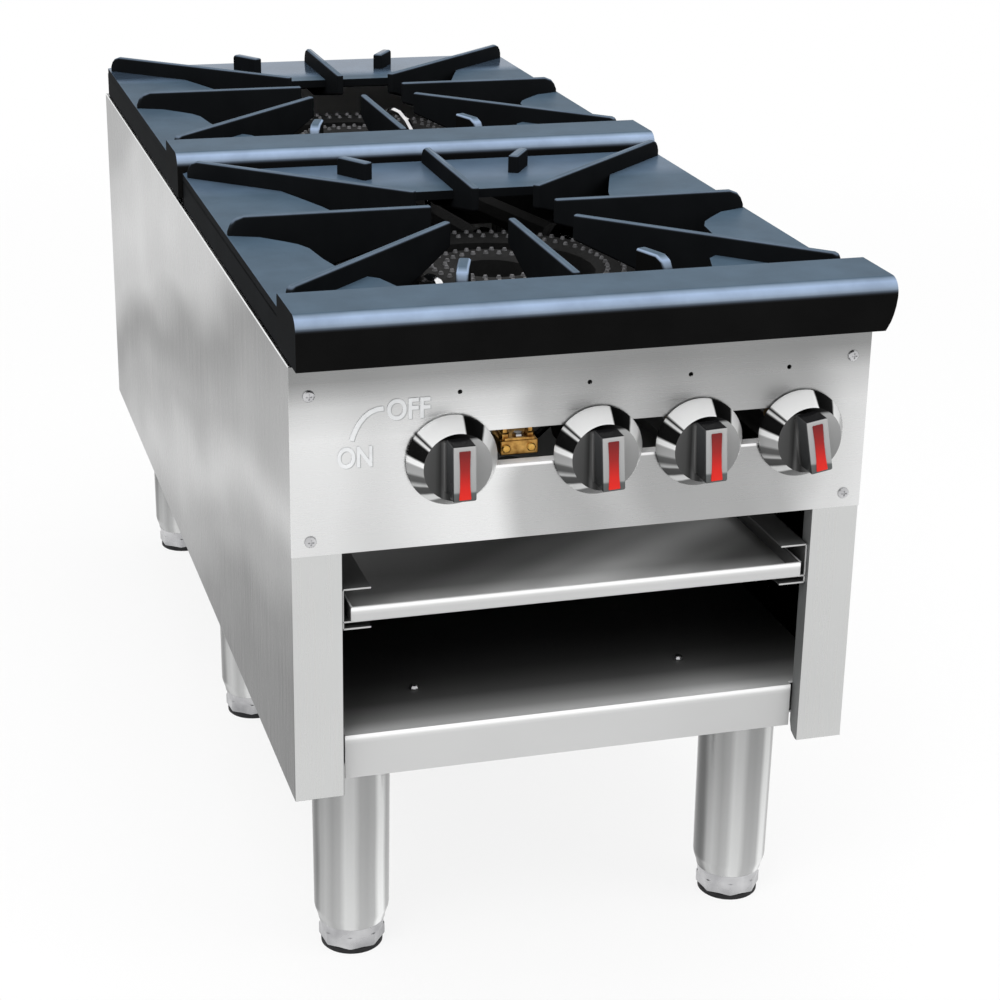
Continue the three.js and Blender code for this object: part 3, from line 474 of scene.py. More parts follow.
# Crossbars and burner rests deep in the body: near-black painted shade over their steel.
steelPaintedShade = bareIron("steelPaintedShade", (0.004, 0.004, 0.004), (0.01, 0.01, 0.01), 0.7)
blackPipe = bareIron("blackPipe", (0.002, 0.002, 0.002), (0.007, 0.007, 0.007), 0.6)
brassFinish = plainMetal("brassFinish", (0.52, 0.27, 0.05), (0.86, 0.55, 0.16), 0.28)
zincFinish = plainMetal("zincFinish", (0.42, 0.42, 0.43), (0.66, 0.66, 0.67), 0.3)
brightTube = plainMetal("brightTube", (0.62, 0.62, 0.63), (0.88, 0.88, 0.89), 0.12)


# Painted reflection on chrome: light and dark by the clock angle round the knob. What a polished cone mirrors
# is painted this way.
chromeSettings = {
    "clock": [
        # degrees clockwise from the top, grey
        (-180, 0.17), (-152, 0.16), (-148, 0.75), (-138, 0.7), (-134, 0.07), (-122, 0.09), (-119, 0.55),
        (-112, 0.1), (-104, 0.12), (-100, 0.4), (-88, 0.36), (-86, 0.9), (-80, 0.9), (-78, 0.006),
        (-58, 0.008), (-56, 0.85), (-54, 0.85), (-52, 0.03), (-50, 0.03), (-48, 1), (12, 1), (14, 0.004),
        (43, 0.004), (46, 0.85), (62, 0.8), (70, 0.45), (96, 0.5), (104, 0.85), (146, 0.8), (156, 0.2),
        (180, 0.17),
    ],
    # painted reflection across the knob's face
    "face": [
        (0, 0.085), (0.16, 0.075), (0.24, 0.035), (0.29, 0.12), (0.33, 0.05), (0.38, 0.03), (0.6, 0.2),
        (0.72, 0.34), (1, 0.3),
    ],
    "faceRadius": 26.2,
    "faceHalf": 0.026,  # m, as the next one is
    # painted shade at the face's top above the grip, and painted light brighter towards the top
    "faceEdge": (0.0205, 0.0225),  # above the axis, where the face darkens to the top
    "faceEdgeTone": 0.04,
    "faceRise": (0.8, 1.15),  # how bright it is at the bottom and at the top
    "roughness": (0.1, 0.2),
    "clearness": 1.06,  # index of refraction
    "edgeTint": 0.35,
}


# The place measured from a knob's axis, which is given as (x, z) in mm.
def knobPlace(tree, centre):
    shift = -place(centre[0], 0, centre[1])
    return objectPlace(tree, shift=(shift.x, 0, shift.z))


def paintedChromeOf(name, centre, settings):
    material, tree, shader = newFinish(name, 0.16, 0.15)
    spot = knobPlace(tree, centre)
    parts = partsOf(tree, spot)
    half = settings["faceHalf"]
    turn = shareOf(tree, calculated(tree, "ARCTAN2", parts["X"], parts["Z"]), -math.pi, math.pi)
    cone = greyBlend(tree, turn, [((angle + 180) / 360, grey) for angle, grey in settings["clock"]])
    face = greyBlend(tree, shareOf(tree, parts["X"], -half, half), settings["face"])
    top = spread(tree, parts["Z"], 1, settings["faceEdgeTone"], *settings["faceEdge"])
    rise = spread(tree, parts["Z"], *settings["faceRise"], -half, half)
    shade = multiplied(tree, face, calculated(tree, "MULTIPLY", top, rise))
    flat = addNode(tree, "CombineXYZ", {0: parts["X"], 2: parts["Z"]}).outputs[0]
    radius = addNode(tree, "VectorMath", {0: flat}, operation="LENGTH").outputs["Value"]
    outside = calculated(tree, "GREATER_THAN", radius, settings["faceRadius"] / 1000)
    feed(tree, shader, {
        "Base Color": mixed(tree, outside, shade, cone),
        "IOR": settings["clearness"],
        "Specular Tint": (*[settings["edgeTint"]] * 3, 1),
        "Roughness": spread(tree, noiseAt(tree, spot, 90, 2), *settings["roughness"]),
    })
    return material


gripSettings = {
    # rim, flank and top: painted reflection and painted shade on the grip
    "rim": [
        (0, (0.1, 0.1, 0.1)), (0.19, (0.11, 0.12, 0.12)), (0.23, (0.34, 0.35, 0.35)),
        (1, (0.42, 0.42, 0.42)),
    ],
    "flank": [(0, (0.02, 0.021, 0.021)), (0.3, (0.035, 0.036, 0.037)), (1, (0.06, 0.062, 0.064))],
    "top": (0.012, 0.012, 0.013),
    "reach": (-0.022, 0.022),  # m from the axis, where the stops begin and end
    "roughness": (0.16, 0.26),
    "clearness": 1.06,
}


# The grip's left flank and its top get painted shade, its front rim a pale painted reflection that darkens at
# the foot.
def gripChrome(name, centre, settings):
    material, tree, shader = newFinish(name, 0.2, 0.15)
    spot = knobPlace(tree, centre)
    along = shareOf(tree, partsOf(tree, spot)["Z"], *settings["reach"])
    rim, flank = [blendStops(tree, along, settings[key]) for key in ("rim", "flank")]
    normal = normalOf(tree)
    sides = mixed(tree, shareOf(tree, normal["X"], -0.45, -0.75), rim, flank)
    both = mixed(tree, shareOf(tree, normal["Z"], 0.6, 0.85), sides, settings["top"])
    polish = spread(tree, noiseAt(tree, spot, 120, 2), *settings["roughness"])
    feed(tree, shader, {"Base Color": both, "IOR": settings["clearness"], "Roughness": polish})
    return material


redSettings = {
    # painted light brighter at the insert's bottom, fading into painted shade at its top
    "stops": [
        (0, (0.72, 0.012, 0.004)), (0.3, (0.6, 0.01, 0.005)), (0.65, (0.3, 0.008, 0.006)),
        (1, (0.16, 0.006, 0.006)),
    ],
    "reach": (-0.02, 0.018),
    "roughness": (0.32, 0.42),
    "shine": 0.3,
}


def redInsert(name, centre, settings):
    material, tree, shader = newFinish(name, 0.38, 0)
    spot = knobPlace(tree, centre)
    along = shareOf(tree, partsOf(tree, spot)["Z"], *settings["reach"])
    feed(tree, shader, {
        "Base Color": blendStops(tree, along, settings["stops"]),
        "Specular IOR Level": settings["shine"],
        "Roughness": spread(tree, noiseAt(tree, spot, 300, 2), *settings["roughness"]),
    })
    return material


glossSettings = {
    "matt": (0.053, 0.084, 0.118),
    "mirror": (0.14, 0.21, 0.31),
    "roughness": (0.42, 0.12),  # of the matt and of the mirroring parts
    "metallic": (0, 0.8),
    "clearness": 1.1,
    "edgeTint": 0.7,
    # how far it is a mirror, along the range's depth
    "mirrored": [
        (0, 0), (0.372, 0), (0.4, 0.42), (0.467, 0.42), (0.469, 0), (0.875, 0), (0.905, 1), (1, 1),
    ],
    "reach": 1060,
}


# The enamelled tops of the castings: matt slate, and like dark glass behind each opening.
def glossEnamel(name, settings):
    material, tree, shader = newFinish(name, 0.4, 0)
    mirrored = greyBlend(tree, alongDirection(tree, (0, 1, 0), 0, settings["reach"]), settings["mirrored"])
    colour = mixed(tree, mirrored, settings["matt"], settings["mirror"])
    feed(tree, shader, {
        "Base Color": mottled(tree, colour, 30, 0.88, 1.12),
        "IOR": settings["clearness"],
        "Specular Tint": (*[settings["edgeTint"]] * 3, 1),
        "Roughness": spread(tree, mirrored, *settings["roughness"], 0, 1),
        "Metallic": spread(tree, mirrored, *settings["metallic"], 0, 1),
    })
    bumpOf(tree, shader, noiseAt(tree, objectPlace(tree), 420, 3, 0.6), 0.05, 0.0002)
    return material


# The burner ports are lighter than the burners as a painted highlight.
burnerPortsHighlight = bareIron("burnerPortsHighlight", (0.05, 0.05, 0.052), (0.2, 0.2, 0.21), 0.5)
rubberBlack = bareIron("rubberBlack", (0.01, 0.01, 0.011), (0.022, 0.022, 0.023), 0.75)
glossTop = glossEnamel("glossTop", glossSettings)
print("finishes mixed")


# The object that was just added gets its name.
def nameNew(name):
    piece = bpy.context.object
    piece.name = name
    piece.data.name = name
    return piece


# Edit mode, with the whole mesh selected.
def openMesh():
    bpy.ops.object.mode_set(mode="EDIT")
    bpy.ops.mesh.select_all(action="SELECT")


def closeMesh():
    bpy.ops.object.mode_set(mode="OBJECT")


# Back to object mode, with all faces turned outwards.
def closeShell():
    bpy.ops.mesh.select_all(action="SELECT")
    bpy.ops.mesh.normals_make_consistent(inside=False)
    closeMesh()


def selectOnly(*pieces):
    clearSelection()
    for piece in pieces:
        piece.select_set(True)
    bpy.context.view_layer.objects.active = pieces[0]


# A closed outline of (a, b) pulled from one value of c to another. toPlace turns (a, b, c) into a place.
def outlinePiece(name, points, between, toPlace):
    clearSelection()
    bpy.ops.mesh.primitive_circle_add(vertices=len(points), radius=1, fill_type="NGON")
    piece = nameNew(name)
    for vertex, (a, b) in zip(piece.data.vertices, points):
        vertex.co = toPlace(a, b, between[0])
    openMesh()
    step = toPlace(0, 0, between[1]) - toPlace(0, 0, between[0])
    bpy.ops.mesh.extrude_region_move(TRANSFORM_OT_translate={"value": step})
    closeShell()
    return piece


# How an outline's own two directions, and the one it is pulled along, lie in the range.
def fromSide(y, z, x):
    return place(x, y, z)


def fromFront(x, z, y):
    return place(x, y, z)


# A profile of (radius, distance along the axis) turned round an axis through a place.
def turnedPiece(name, profile, centre, axis="z", steps=64):
    clearSelection()
    bpy.ops.mesh.primitive_circle_add(vertices=len(profile), radius=1, fill_type="NOTHING")
    piece = nameNew(name)
    middle = place(*centre)
    along = Vector((0, 0, 1)) if axis == "z" else Vector((0, 1, 0))
    for vertex, (radius, run) in zip(piece.data.vertices, profile):
        vertex.co = middle + Vector((radius / 1000, 0, 0)) + along * (run / 1000)
    openMesh()
    bpy.ops.mesh.spin(steps=steps, angle=math.tau, center=middle, axis=along)
    bpy.ops.mesh.select_all(action="SELECT")
    bpy.ops.mesh.remove_doubles(threshold=0.000005)
    bpy.ops.mesh.delete_loose()
    closeShell()
    return piece


def blockPiece(name, low, high):
    clearSelection()
    first, last = place(*low), place(*high)
    bpy.ops.mesh.primitive_cube_add(size=1, location=(first + last) / 2, scale=last - first)
    bpy.ops.object.transform_apply(location=True, rotation=True, scale=True)
    return nameNew(name)


def applyModifier(piece, kind, **settings):
    selectOnly(piece)
    modifier = piece.modifiers.new(kind.lower(), kind)
    for key, value in settings.items():
        setattr(modifier, key, value)
    bpy.ops.object.modifier_apply(modifier=modifier.name)


# Rounds every edge sharper than an angle, and keeps the flats flat in the shading.
def roundEdges(piece, width, segments=3, angle=32):
    applyModifier(
        piece, "BEVEL", width=width / 1000, segments=segments, limit_method="ANGLE",
        angle_limit=math.radians(angle), use_clamp_overlap=True, miter_outer="MITER_SHARP",
    )
    return smoothen(piece)


def smoothen(piece, angle=40):
    selectOnly(piece)
    bpy.ops.object.shade_smooth_by_angle(angle=math.radians(angle))
    applyModifier(piece, "WEIGHTED_NORMAL", weight=100, keep_sharp=True)
    return piece


def cutAway(piece, *tools):
    for tool in tools:
        applyModifier(piece, "BOOLEAN", operation="DIFFERENCE", object=tool, solver="EXACT")
        bpy.data.objects.remove(tool)
    return piece


def joined(name, pieces):
    selectOnly(*pieces)
    bpy.ops.object.join()
    return nameNew(name)


def paint(piece, *materials):
    piece.data.materials.clear()
    for material in materials:
        piece.data.materials.append(material)
    return piece


# Gives some faces a finish of their own. chosen says which, by their middle in mm and their normal.
def repaint(piece, material, chosen):
    piece.data.materials.append(material)
    for face in piece.data.polygons:
        if chosen(inMm(face.center), face.normal):
            face.material_index = len(piece.data.materials) - 1


# Puts a finished piece on its body, in place of the CAD nodes that it stands for.
def settle(piece, body, slot, *nodes):
    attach(piece, body)
    if nodes:
        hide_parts(*nodes)
    return piece


# A copy of a CAD node's mesh with merged points, whole flats and rounded edges.
def refined(node, width, segments=2, angle=32, body="range", material=None, slot="stainless", smooth=40):
    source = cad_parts[node]
    piece = newObject(f"{node}_shaped", source.data.copy())
    piece.matrix_world = source.matrix_world.copy()
    selectOnly(piece)
    bpy.ops.object.transform_apply(location=True, rotation=True, scale=True)
    openMesh()
    bpy.ops.mesh.remove_doubles(threshold=0.00001)
    bpy.ops.mesh.dissolve_limited(angle_limit=math.radians(1))
    closeMesh()
    if width:
        roundEdges(piece, width, segments, angle)
    else:
        smoothen(piece, smooth)
    paint(piece, material)
    return settle(piece, body, slot, node)


grateSettings = {
    "half": 226.4,
    "back": 233,  # from the middle of the star, as all these are
    "corner": 5,
    "railFront": -299.5,
    "railBack": -232,
    "railHalf": 230,
    "railBottom": 535,
    "railNose": 12,
    "railBackRound": 3,
    "railDraft": [  # at its right end: how far it is drawn in, and how high that is
        (8.6, 534), (6.6, 537.5), (4.2, 542), (2.3, 547.5), (0.9, 553.5), (0.2, 559), (-0.5, 563),
    ],
    "railWall": 8,
    "top": 575,
    "plate": (551, 559),
    "rimBottom": 528.3,
    "rimFront": -262,
    "rim": 8,
    "opening": [
        (122, -198), (131, -168), (135, -155), (149, -142), (158, -124), (165, -90), (169, -55), (175, -41),
        (184, -30), (201, -12), (221, -4), (221, 4), (114, 4), (119, 40), (130, 80), (143, 116), (158, 156),
        (118, 114),
    ],
    "fins": [
        # the tip, the root, how far the root's end drops, how far along the fin reaches down to the rim
        ((0, -54), (0, -226), 0, 85),
        ((0, 54), (0, 230), 12, 130),
        ((-54, 0), (-225.4, 0), 13, 85),
        ((54, 0), (225.4, 0), 13, 85),
        ((-54, -54), (-218.4, -218), 5, 85),
        ((54, -54), (218.4, -218), 5, 85),
        ((-54, 54), (-223.4, 214), 11, 85),
        ((54, 54), (223.4, 214), 11, 85),
    ],
    "finThickness": 7,
    "finTip": 21.5,
    "finFoot": 0.5,  # above the rim's bottom
    "lugs": [
        # inner end, outer end, how far its nose drops
        ((71, -167), (83, -202), 11),
        ((67.5, 168), (87, 200), 3),
    ],
    "lugThickness": 10,
    "round": 2.4,
}


def arcPoints(middle, radius, start, end, count=7):
    turns = [math.radians(start + (end - start) * step / (count - 1)) for step in range(count)]
    return [(middle[0] + radius * math.cos(turn), middle[1] + radius * math.sin(turn)) for turn in turns]


# An upright plate between two places on plan. outlineOf gives its outline from its length.
def uprightPiece(name, start, end, thick, outlineOf, settings):
    run = math.dist(start, end)
    ahead = ((end[0] - start[0]) / run, (end[1] - start[1]) / run)

    def toPlace(along, high, aside):
        x = start[0] + ahead[0] * along - ahead[1] * aside
        return place(x, start[1] + ahead[1] * along + ahead[0] * aside, high)

    piece = outlinePiece(name, outlineOf(run), (-thick / 2, thick / 2), toPlace)
    return roundEdges(piece, settings["round"], 3)


def finPiece(tip, root, drop, footRun, settings):
    top, foot = settings["top"], settings["rimBottom"] + settings["finFoot"]

    def outlineOf(run):
        lower = [(0, top - settings["finTip"]), (footRun, foot), (run, foot)]
        if not drop:
            return lower + [(run, top), (0, top)]
        nose = [
            (run, top - drop), (run - drop * 0.18, top - drop * 0.55), (run - drop * 0.45, top - drop * 0.22),
            (run - drop, top),
        ]
        return lower + nose + [(0, top)]

    return uprightPiece("fin", tip, root, settings["finThickness"], outlineOf, settings)


def lugPiece(inner, outer, drop, settings):
    bottom, top = settings["plate"][0], settings["top"]

    def outlineOf(run):
        nose = [(run, top - drop), (run - drop * 0.35, top - drop * 0.3), (run - drop, top)]
        return [(0, bottom), (run, bottom)] + nose + [(0, top)]

    return uprightPiece("lug", inner, outer, settings["lugThickness"], outlineOf, settings)


# The hollow rail at a grate's front, with its rounded nose and the draft of its right end.
def railPiece(name, front, back, settings):
    bottom, top, side = settings["railBottom"], settings["top"], settings["railHalf"]
    wall, nose, heel = settings["railWall"], settings["railNose"], settings["railBackRound"]
    section = [(front, bottom), (back, bottom)]
    section += arcPoints((back - heel, top - heel), heel, 0, 90, 4)
    section += arcPoints((front + nose, top - nose), nose, 90, 180, 9)
    rail = outlinePiece(name, section, (-side, side), fromSide)
    low, high = (wall - side, front + wall, bottom - 5), (side - wall, back - wall, top - wall)
    draft = [(side - x, z) for x, z in settings["railDraft"]]
    draft += [(side + 5, draft[-1][1]), (side + 5, draft[0][1])]
    tools = [blockPiece("hollow", low, high), outlinePiece("draft", draft, (front - 5, back + 5), fromFront)]
    cutAway(rail, *tools)
    return paint(roundEdges(rail, 8, 5, 45), railEnamelNoseHighlight)


def makeGrate(name, node, body, starY, settings):
    half, back, corner = settings["half"], settings["back"], settings["corner"]
    railBack = settings["railBack"]
    plateLow, plateTop = settings["plate"]

    def spot(x, y):
        return (x, y + starY)

    edges = [(half, railBack - 6), (half, back - corner), (half - corner, back)]
    edge = [spot(x, y) for x, y in edges] + [spot(-x, y) for x, y in reversed(edges)]
    slab = outlinePiece(f"{name}_plate", edge, (plateLow, plateTop), place)
    hole = [spot(x, y) for x, y in settings["opening"]]
    hole += [spot(-x, y) for x, y in reversed(settings["opening"])]
    cutAway(slab, outlinePiece("hole", hole, (plateLow - 5, plateTop + 5), place))
    roundEdges(slab, 3.2, 3, 40)
    pieces = [slab]
    rim, rimFront = settings["rim"], settings["rimFront"]
    for low, high in (
        (spot(-half, rimFront), spot(rim - half, back)),
        (spot(half - rim, rimFront), spot(half, back)),
        (spot(-half, back - rim), spot(half, back)),
    ):
        wall = blockPiece("rim", (*low, settings["rimBottom"]), (*high, plateLow + 3))
        pieces.append(roundEdges(wall, 1.5, 2))
    pieces.append(railPiece(f"{name}_rail", settings["railFront"] + starY, railBack + starY, settings))
    for tip, root, drop, footRun in settings["fins"]:
        pieces.append(finPiece(spot(*tip), spot(*root), drop, footRun, settings))
    frontLug, rearLug = settings["lugs"]
    for side in (-1, 1):
        for (inner, outer, drop), finish in ((frontLug, railEnamelNoseHighlight), (rearLug, castEnamelShadeByFacing)):
            ends = [spot(side * x, y) for x, y in (inner, outer)]
            pieces.append(paint(lugPiece(*ends, drop, settings), finish))
    for piece in pieces:
        if not piece.data.materials:
            paint(piece, castEnamelShadeByFacing)
    grate = joined(name, pieces)
    repaint(grate, glossTop, lambda middle, normal: normal.z > 0.995)
    return settle(grate, body, "cast_iron", node)


starY = {"front": 262, "rear": 796.5}
for spot, y in starY.items():
    makeGrate(f"{spot}GrateCasting", f"{spot}_top_grate", f"{spot}_grate", y, grateSettings)
print("top grates made")


knobSettings = {
    "across": (-107, 7.5, 89, 173),
    "height": (448.3, 446.3, 446, 446.3),
    "turn": (1, 3, 3, 10),  # degrees towards ON
    "skirt": [
        # radius, place from the panel; from the rim to the face and back inside
        (33.8, -3), (35, -3.6), (35, -5.2), (34.1, -7), (31.4, -12.5), (28, -18.5), (26.7, -21.1),
        (26.1, -21.9), (25.2, -22), (0, -22), (0, -19), (23, -19), (31.4, -3),
    ],
    "faceFront": -22,
    "barFront": -41,
    "barWidth": 18,
    "barHalfLength": 21.6,
    "barRise": 1.4,  # its middle above the axis
    "barRound": 1.6,
    "fillet": (2.2, -2, 1.4),  # how far it stands out past the bar's sides, ends and the face
    "insert": [
        (-4.6, -18.4), (4.6, -18.4), (3.9, -8), (3.8, 5), (4.3, 19.4), (-4.3, 19.4), (-3.8, 5), (-3.9, -8),
    ],
    "insertFront": -42,
}


def makeKnob(number, settings):
    x, z = settings["across"][number - 1], settings["height"][number - 1]
    front, barFront = settings["faceFront"], settings["barFront"]
    middle = z + settings["barRise"]
    half, long = settings["barWidth"] / 2, settings["barHalfLength"]

    def plateOf(name, wide, high, ahead):
        return blockPiece(name, (x - wide, ahead, middle - high), (x + wide, front + 1, middle + high))

    cone = smoothen(turnedPiece("skirt", settings["skirt"], (x, 0, z), "y", 96), 30)
    chrome = paintedChromeOf(f"knobChromePainted{number}", (x, z), chromeSettings)
    grip = roundEdges(plateOf("grip", half, long, barFront), settings["barRound"], 4)
    # a fillet where the grip meets the face
    sideOut, endOut, proud = settings["fillet"]
    foot = roundEdges(plateOf("foot", half + sideOut, long + endOut, front - proud), 1.3, 3)
    paint(cone, chrome)
    paint(grip, gripChrome(f"gripChrome{number}", (x, z), gripSettings))
    paint(foot, chrome)
    corners = [(x + a, z + b) for a, b in settings["insert"]]
    insert = outlinePiece(f"knobInsert{number}", corners, (settings["insertFront"], barFront + 1), fromFront)
    roundEdges(insert, 0.7, 3)
    paint(insert, redInsert(f"insertRed{number}", (x, z), redSettings))
    knob = joined(f"knobShaped{number}", [cone, grip, foot])
    turn = math.radians(settings["turn"][number - 1])
    for piece in (knob, insert):
        selectOnly(piece)
        openMesh()
        bpy.ops.transform.rotate(value=turn, orient_axis="Y", center_override=place(x, 0, z))
        closeMesh()
    body = f"knob_turning_{number}"
    settle(knob, body, "chrome", f"knob_{number}")
    settle(insert, body, "red_plastic", f"knob_pointer_{number}")


for number in range(1, 5):
    makeKnob(number, knobSettings)
print("knobs made")


sheetSettings = {
    "round": {"panel": 0.7, "side": 1.1, "back": 0.5, "shelf": 1.4, "tray": 1.5},
    "runnerSheet": 1.5,
    "supportUnderTop": 26.6,
    "foldAbove": 526.6,  # the side panels' upper folds
    "bayTop": 330,
    "slotLip": (437, 443),
}


# A runner is a channel open to the middle, and a flange between its own two carries the tray.
def makeRunner(side, settings):
    low, high = [inMm(corner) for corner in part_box(f"{side}_tray_runner")]
    sheet = settings["runnerSheet"]
    levels = (high.z, high.z - settings["supportUnderTop"], low.z + sheet)
    pieces = []
    for level in levels:
        pieces.append(blockPiece("flange", (low.x, low.y, level - sheet), (high.x, high.y, level)))
    web = (low.x, low.x + sheet) if side == "left" else (high.x - sheet, high.x)
    pieces.append(blockPiece("web", (web[0], low.y, low.z), (web[1], high.y, high.z)))
    runner = roundEdges(joined(f"{side}RunnerShaped", pieces), 0.3, 2)
    return settle(paint(runner, runnerSteel), "range", "stainless", f"{side}_tray_runner")


# The upper fold of a side panel gets a pale painted highlight, and the inner face of its column beside the
# lower bay painted shade.
def makeSide(side, settings):
    panel = refined(f"{side}_side_panel", settings["round"]["side"], material=sideSteel)

    def folded(middle, normal):
        return middle.z > settings["foldAbove"] and abs(middle.x) > 227

    def besideBay(middle, normal):
        inward = normal.x * middle.x < -0.9 * abs(middle.x)
        return inward and middle.z < settings["bayTop"] and 1 < middle.y < 60 and abs(middle.x) < 200

    repaint(panel, foldPaintedHighlight, folded)
    repaint(panel, innerPaintedShade, besideBay)


# painted highlight for the side panels' upper folds
foldPaintedHighlight = plainMetal("foldPaintedHighlight", (0.86, 0.87, 0.87), (0.95, 0.96, 0.96), 0.4, metal=0.25)
# painted white highlight on the slot's lower lip
lipPaintedHighlight = plainMetal("lipPaintedHighlight", (0.97, 0.97, 0.97), (1, 1, 1), 0.5, metal=0)
# painted shade for the column's inner face beside the bay
innerPaintedShade = plainMetal("innerPaintedShade", (0.15, 0.155, 0.155), (0.2, 0.205, 0.205), 0.4, 8, metal=0.2)
rounding = sheetSettings["round"]
lipLow, lipHigh = sheetSettings["slotLip"]
for side in ("left", "right"):
    makeSide(side, sheetSettings)
refined("back_panel", rounding["back"], material=backSteel)
panel = refined("control_panel", rounding["panel"], material=panelSteel)
# the slot lip's upward faces get the white painted highlight
repaint(panel, lipPaintedHighlight, lambda middle, normal: lipLow < middle.z < lipHigh and normal.z > 0.4)
refined("bottom_shelf", rounding["shelf"], material=shelfSteel)
refined("drip_tray", rounding["tray"], 3, body="tray", material=traySteel)
for side in ("left", "right"):
    makeRunner(side, sheetSettings)
print("sheet metal folded")


legendSettings = {
    "words": [("OFF", (-155.9, -123.3), (482.2, 498.4)), ("ON", (-193.3, -167.1), (447.6, 464))],
    "arc": [
        (-158.6, 492), (-163.5, 491.6), (-168.3, 489.9), (-172.8, 486.7), (-176.6, 482.2), (-179.5, 477.2),
        (-181.5, 472.6), (-182.6, 468.8),
    ],
    "stroke": 3.4,
    "boldness": 0.022,
    "proud": 0.9,
    "sunk": 0.3,
    # edge: where the painted shadow copy lies against the letters
    "edge": (0.8, 0.3, -0.7),  # how the dark edge lies against the letters
    "face": -1.8,  # the panel's front
}


# A raised word, stretched to its place: from left to right and from low to high.
def wordPiece(word, left, right, low, high, settings):
    clearSelection()
    bpy.ops.object.text_add(location=(0, 0, 0))
    letters = bpy.context.object.data
    letters.body = word
    letters.size = 1
    letters.offset = settings["boldness"]
    bpy.ops.object.convert(target="MESH")
    piece = bpy.context.object
    corners = [vertex.co.copy() for vertex in piece.data.vertices]
    xs, ys = [corner.x for corner in corners], [corner.y for corner in corners]
    for vertex, corner in zip(piece.data.vertices, corners):
        x = left + (right - left) * (corner.x - min(xs)) / (max(xs) - min(xs))
        z = low + (high - low) * (corner.y - min(ys)) / (max(ys) - min(ys))
        vertex.co = place(x, settings["face"] - settings["proud"], z)
    openMesh()
    back = (0, (settings["proud"] + settings["sunk"]) / 1000, 0)
    bpy.ops.mesh.extrude_region_move(TRANSFORM_OT_translate={"value": back})
    bpy.ops.mesh.select_all(action="SELECT")
    bpy.ops.mesh.remove_doubles(threshold=0.00001)
    closeShell()
    return piece


def arcPiece(settings):
    path, wide = settings["arc"], settings["stroke"] / 2
    outer, inner = [], []
    for index, (x, z) in enumerate(path):
        before, after = path[max(index - 1, 0)], path[min(index + 1, len(path) - 1)]
        run = math.dist(before, after)
        aside = ((after[1] - before[1]) / run * wide, (before[0] - after[0]) / run * wide)
        outer.append((x + aside[0], z + aside[1]))
        inner.append((x - aside[0], z - aside[1]))
    between = (settings["face"] - settings["proud"], settings["face"] + settings["sunk"])
    return outlinePiece("arc", outer + inner[::-1], between, fromFront)


# The legend beside the first knob, lightened as a painted highlight, and a darker copy a little aside as its
# painted shadow.
def makeLegend(settings):
    pieces = [wordPiece(word, *across, *height, settings) for word, across, height in settings["words"]]
    pieces.append(arcPiece(settings))
    legend = smoothen(paint(joined("panelLegend", pieces), legendPaintedHighlight), 30)
    under = newObject("panelLegendShadow", legend.data.copy())
    under.data.transform(Matrix.Translation(Vector(settings["edge"]) / 1000))
    paint(under, legendShade)
    settle(legend, "range", "stainless")
    settle(under, "range", "stainless")


# letters lightened as a painted highlight, and the copy aside darker as their painted shadow
legendPaintedHighlight = plainMetal("legendPaintedHighlight", (0.74, 0.75, 0.76), (0.86, 0.87, 0.88), 0.4, metal=0.3)
legendShade = plainMetal("legendShade", (0.4, 0.41, 0.41), (0.52, 0.53, 0.53), 0.4, metal=0.3)
makeLegend(legendSettings)
print("legend raised")


legSettings = {
    "across": 168,
    "along": {"front": 75, "middle": 522, "rear": 977},
    "profile": [
        # radius, height
        (0, 23), (26.9, 23), (27.7, 23.8), (28.2, 27), (30.4, 33.5), (31, 37), (32, 184), (30, 184.2),
        (0, 184.2),
    ],
    "plate": (42, 184.3, 187.3),  # half its width, bottom, top
    "nut": (51, 7),  # across its flats, degrees turned
    "pad": [(0, 0), (25, 0), (25.6, 0.6), (25.6, 4.8), (0, 4.8)],
    "collar": [(0, 15), (26.2, 15), (26.5, 17.5), (26.2, 22.7), (0, 22.7)],
    "nutHeight": (4.8, 16),
    "stud": [(0, 22), (6, 22), (6, 62), (0, 62)],
}


def makeLeg(spot, side, settings):
    x = settings["across"] * (-1 if side == "left" else 1)
    y = settings["along"][spot]

    def turned(name, profile, steps):
        return smoothen(turnedPiece(name, profile, (x, y, 0), "z", steps), 30)

    half, low, high = settings["plate"]
    plate = roundEdges(blockPiece("plate", (x - half, y - half, low), (x + half, y + half, high)), 0.8, 2)
    tube = turned("tube", settings["profile"], 72)
    leg = paint(joined(f"leg_{spot}_{side}_shaped", [tube, plate]), legSteel)
    settle(leg, "range", "stainless", f"leg_{spot}_{side}")
    acrossFlats, turn = settings["nut"]
    corner = acrossFlats / 2 / math.cos(math.pi / 8)
    turns = [math.radians(22.5 + turn + 45 * step) for step in range(8)]
    sides = [(x + corner * math.cos(angle), y + corner * math.sin(angle)) for angle in turns]
    nut = roundEdges(outlinePiece("nut", sides, settings["nutHeight"], place), 1.3, 2)
    pieces = [nut, turned("collar", settings["collar"], 64), turned("stud", settings["stud"], 24)]
    foot = paint(joined(f"foot_{spot}_{side}_shaped", pieces), footSteel)
    pad = paint(turned(f"foot_{spot}_{side}_pad", settings["pad"], 64), rubberBlack)
    for piece in (foot, pad):
        settle(piece, f"{spot}_{side}_foot", "steel", f"foot_{spot}_{side}")


footSteel = plainMetal("footSteel", (0.26, 0.26, 0.27), (0.62, 0.62, 0.63), 0.25, 30)
for spot in legSettings["along"]:
    for side in ("left", "right"):
        makeLeg(spot, side, legSettings)
print("legs and feet made")


burnerSettings = {
    "top": 520,
    "rings": {"outer": (88, 122), "inner": (30, 62)},
    "portsInset": 10,  # from the ring's edges
    "nubRadius": (2.6, 1.56),  # at the bottom and at the top
    "nubHigh": 3,
    "nubSunk": 0.6,
    "nubPitch": 11,  # along the row of ports
}


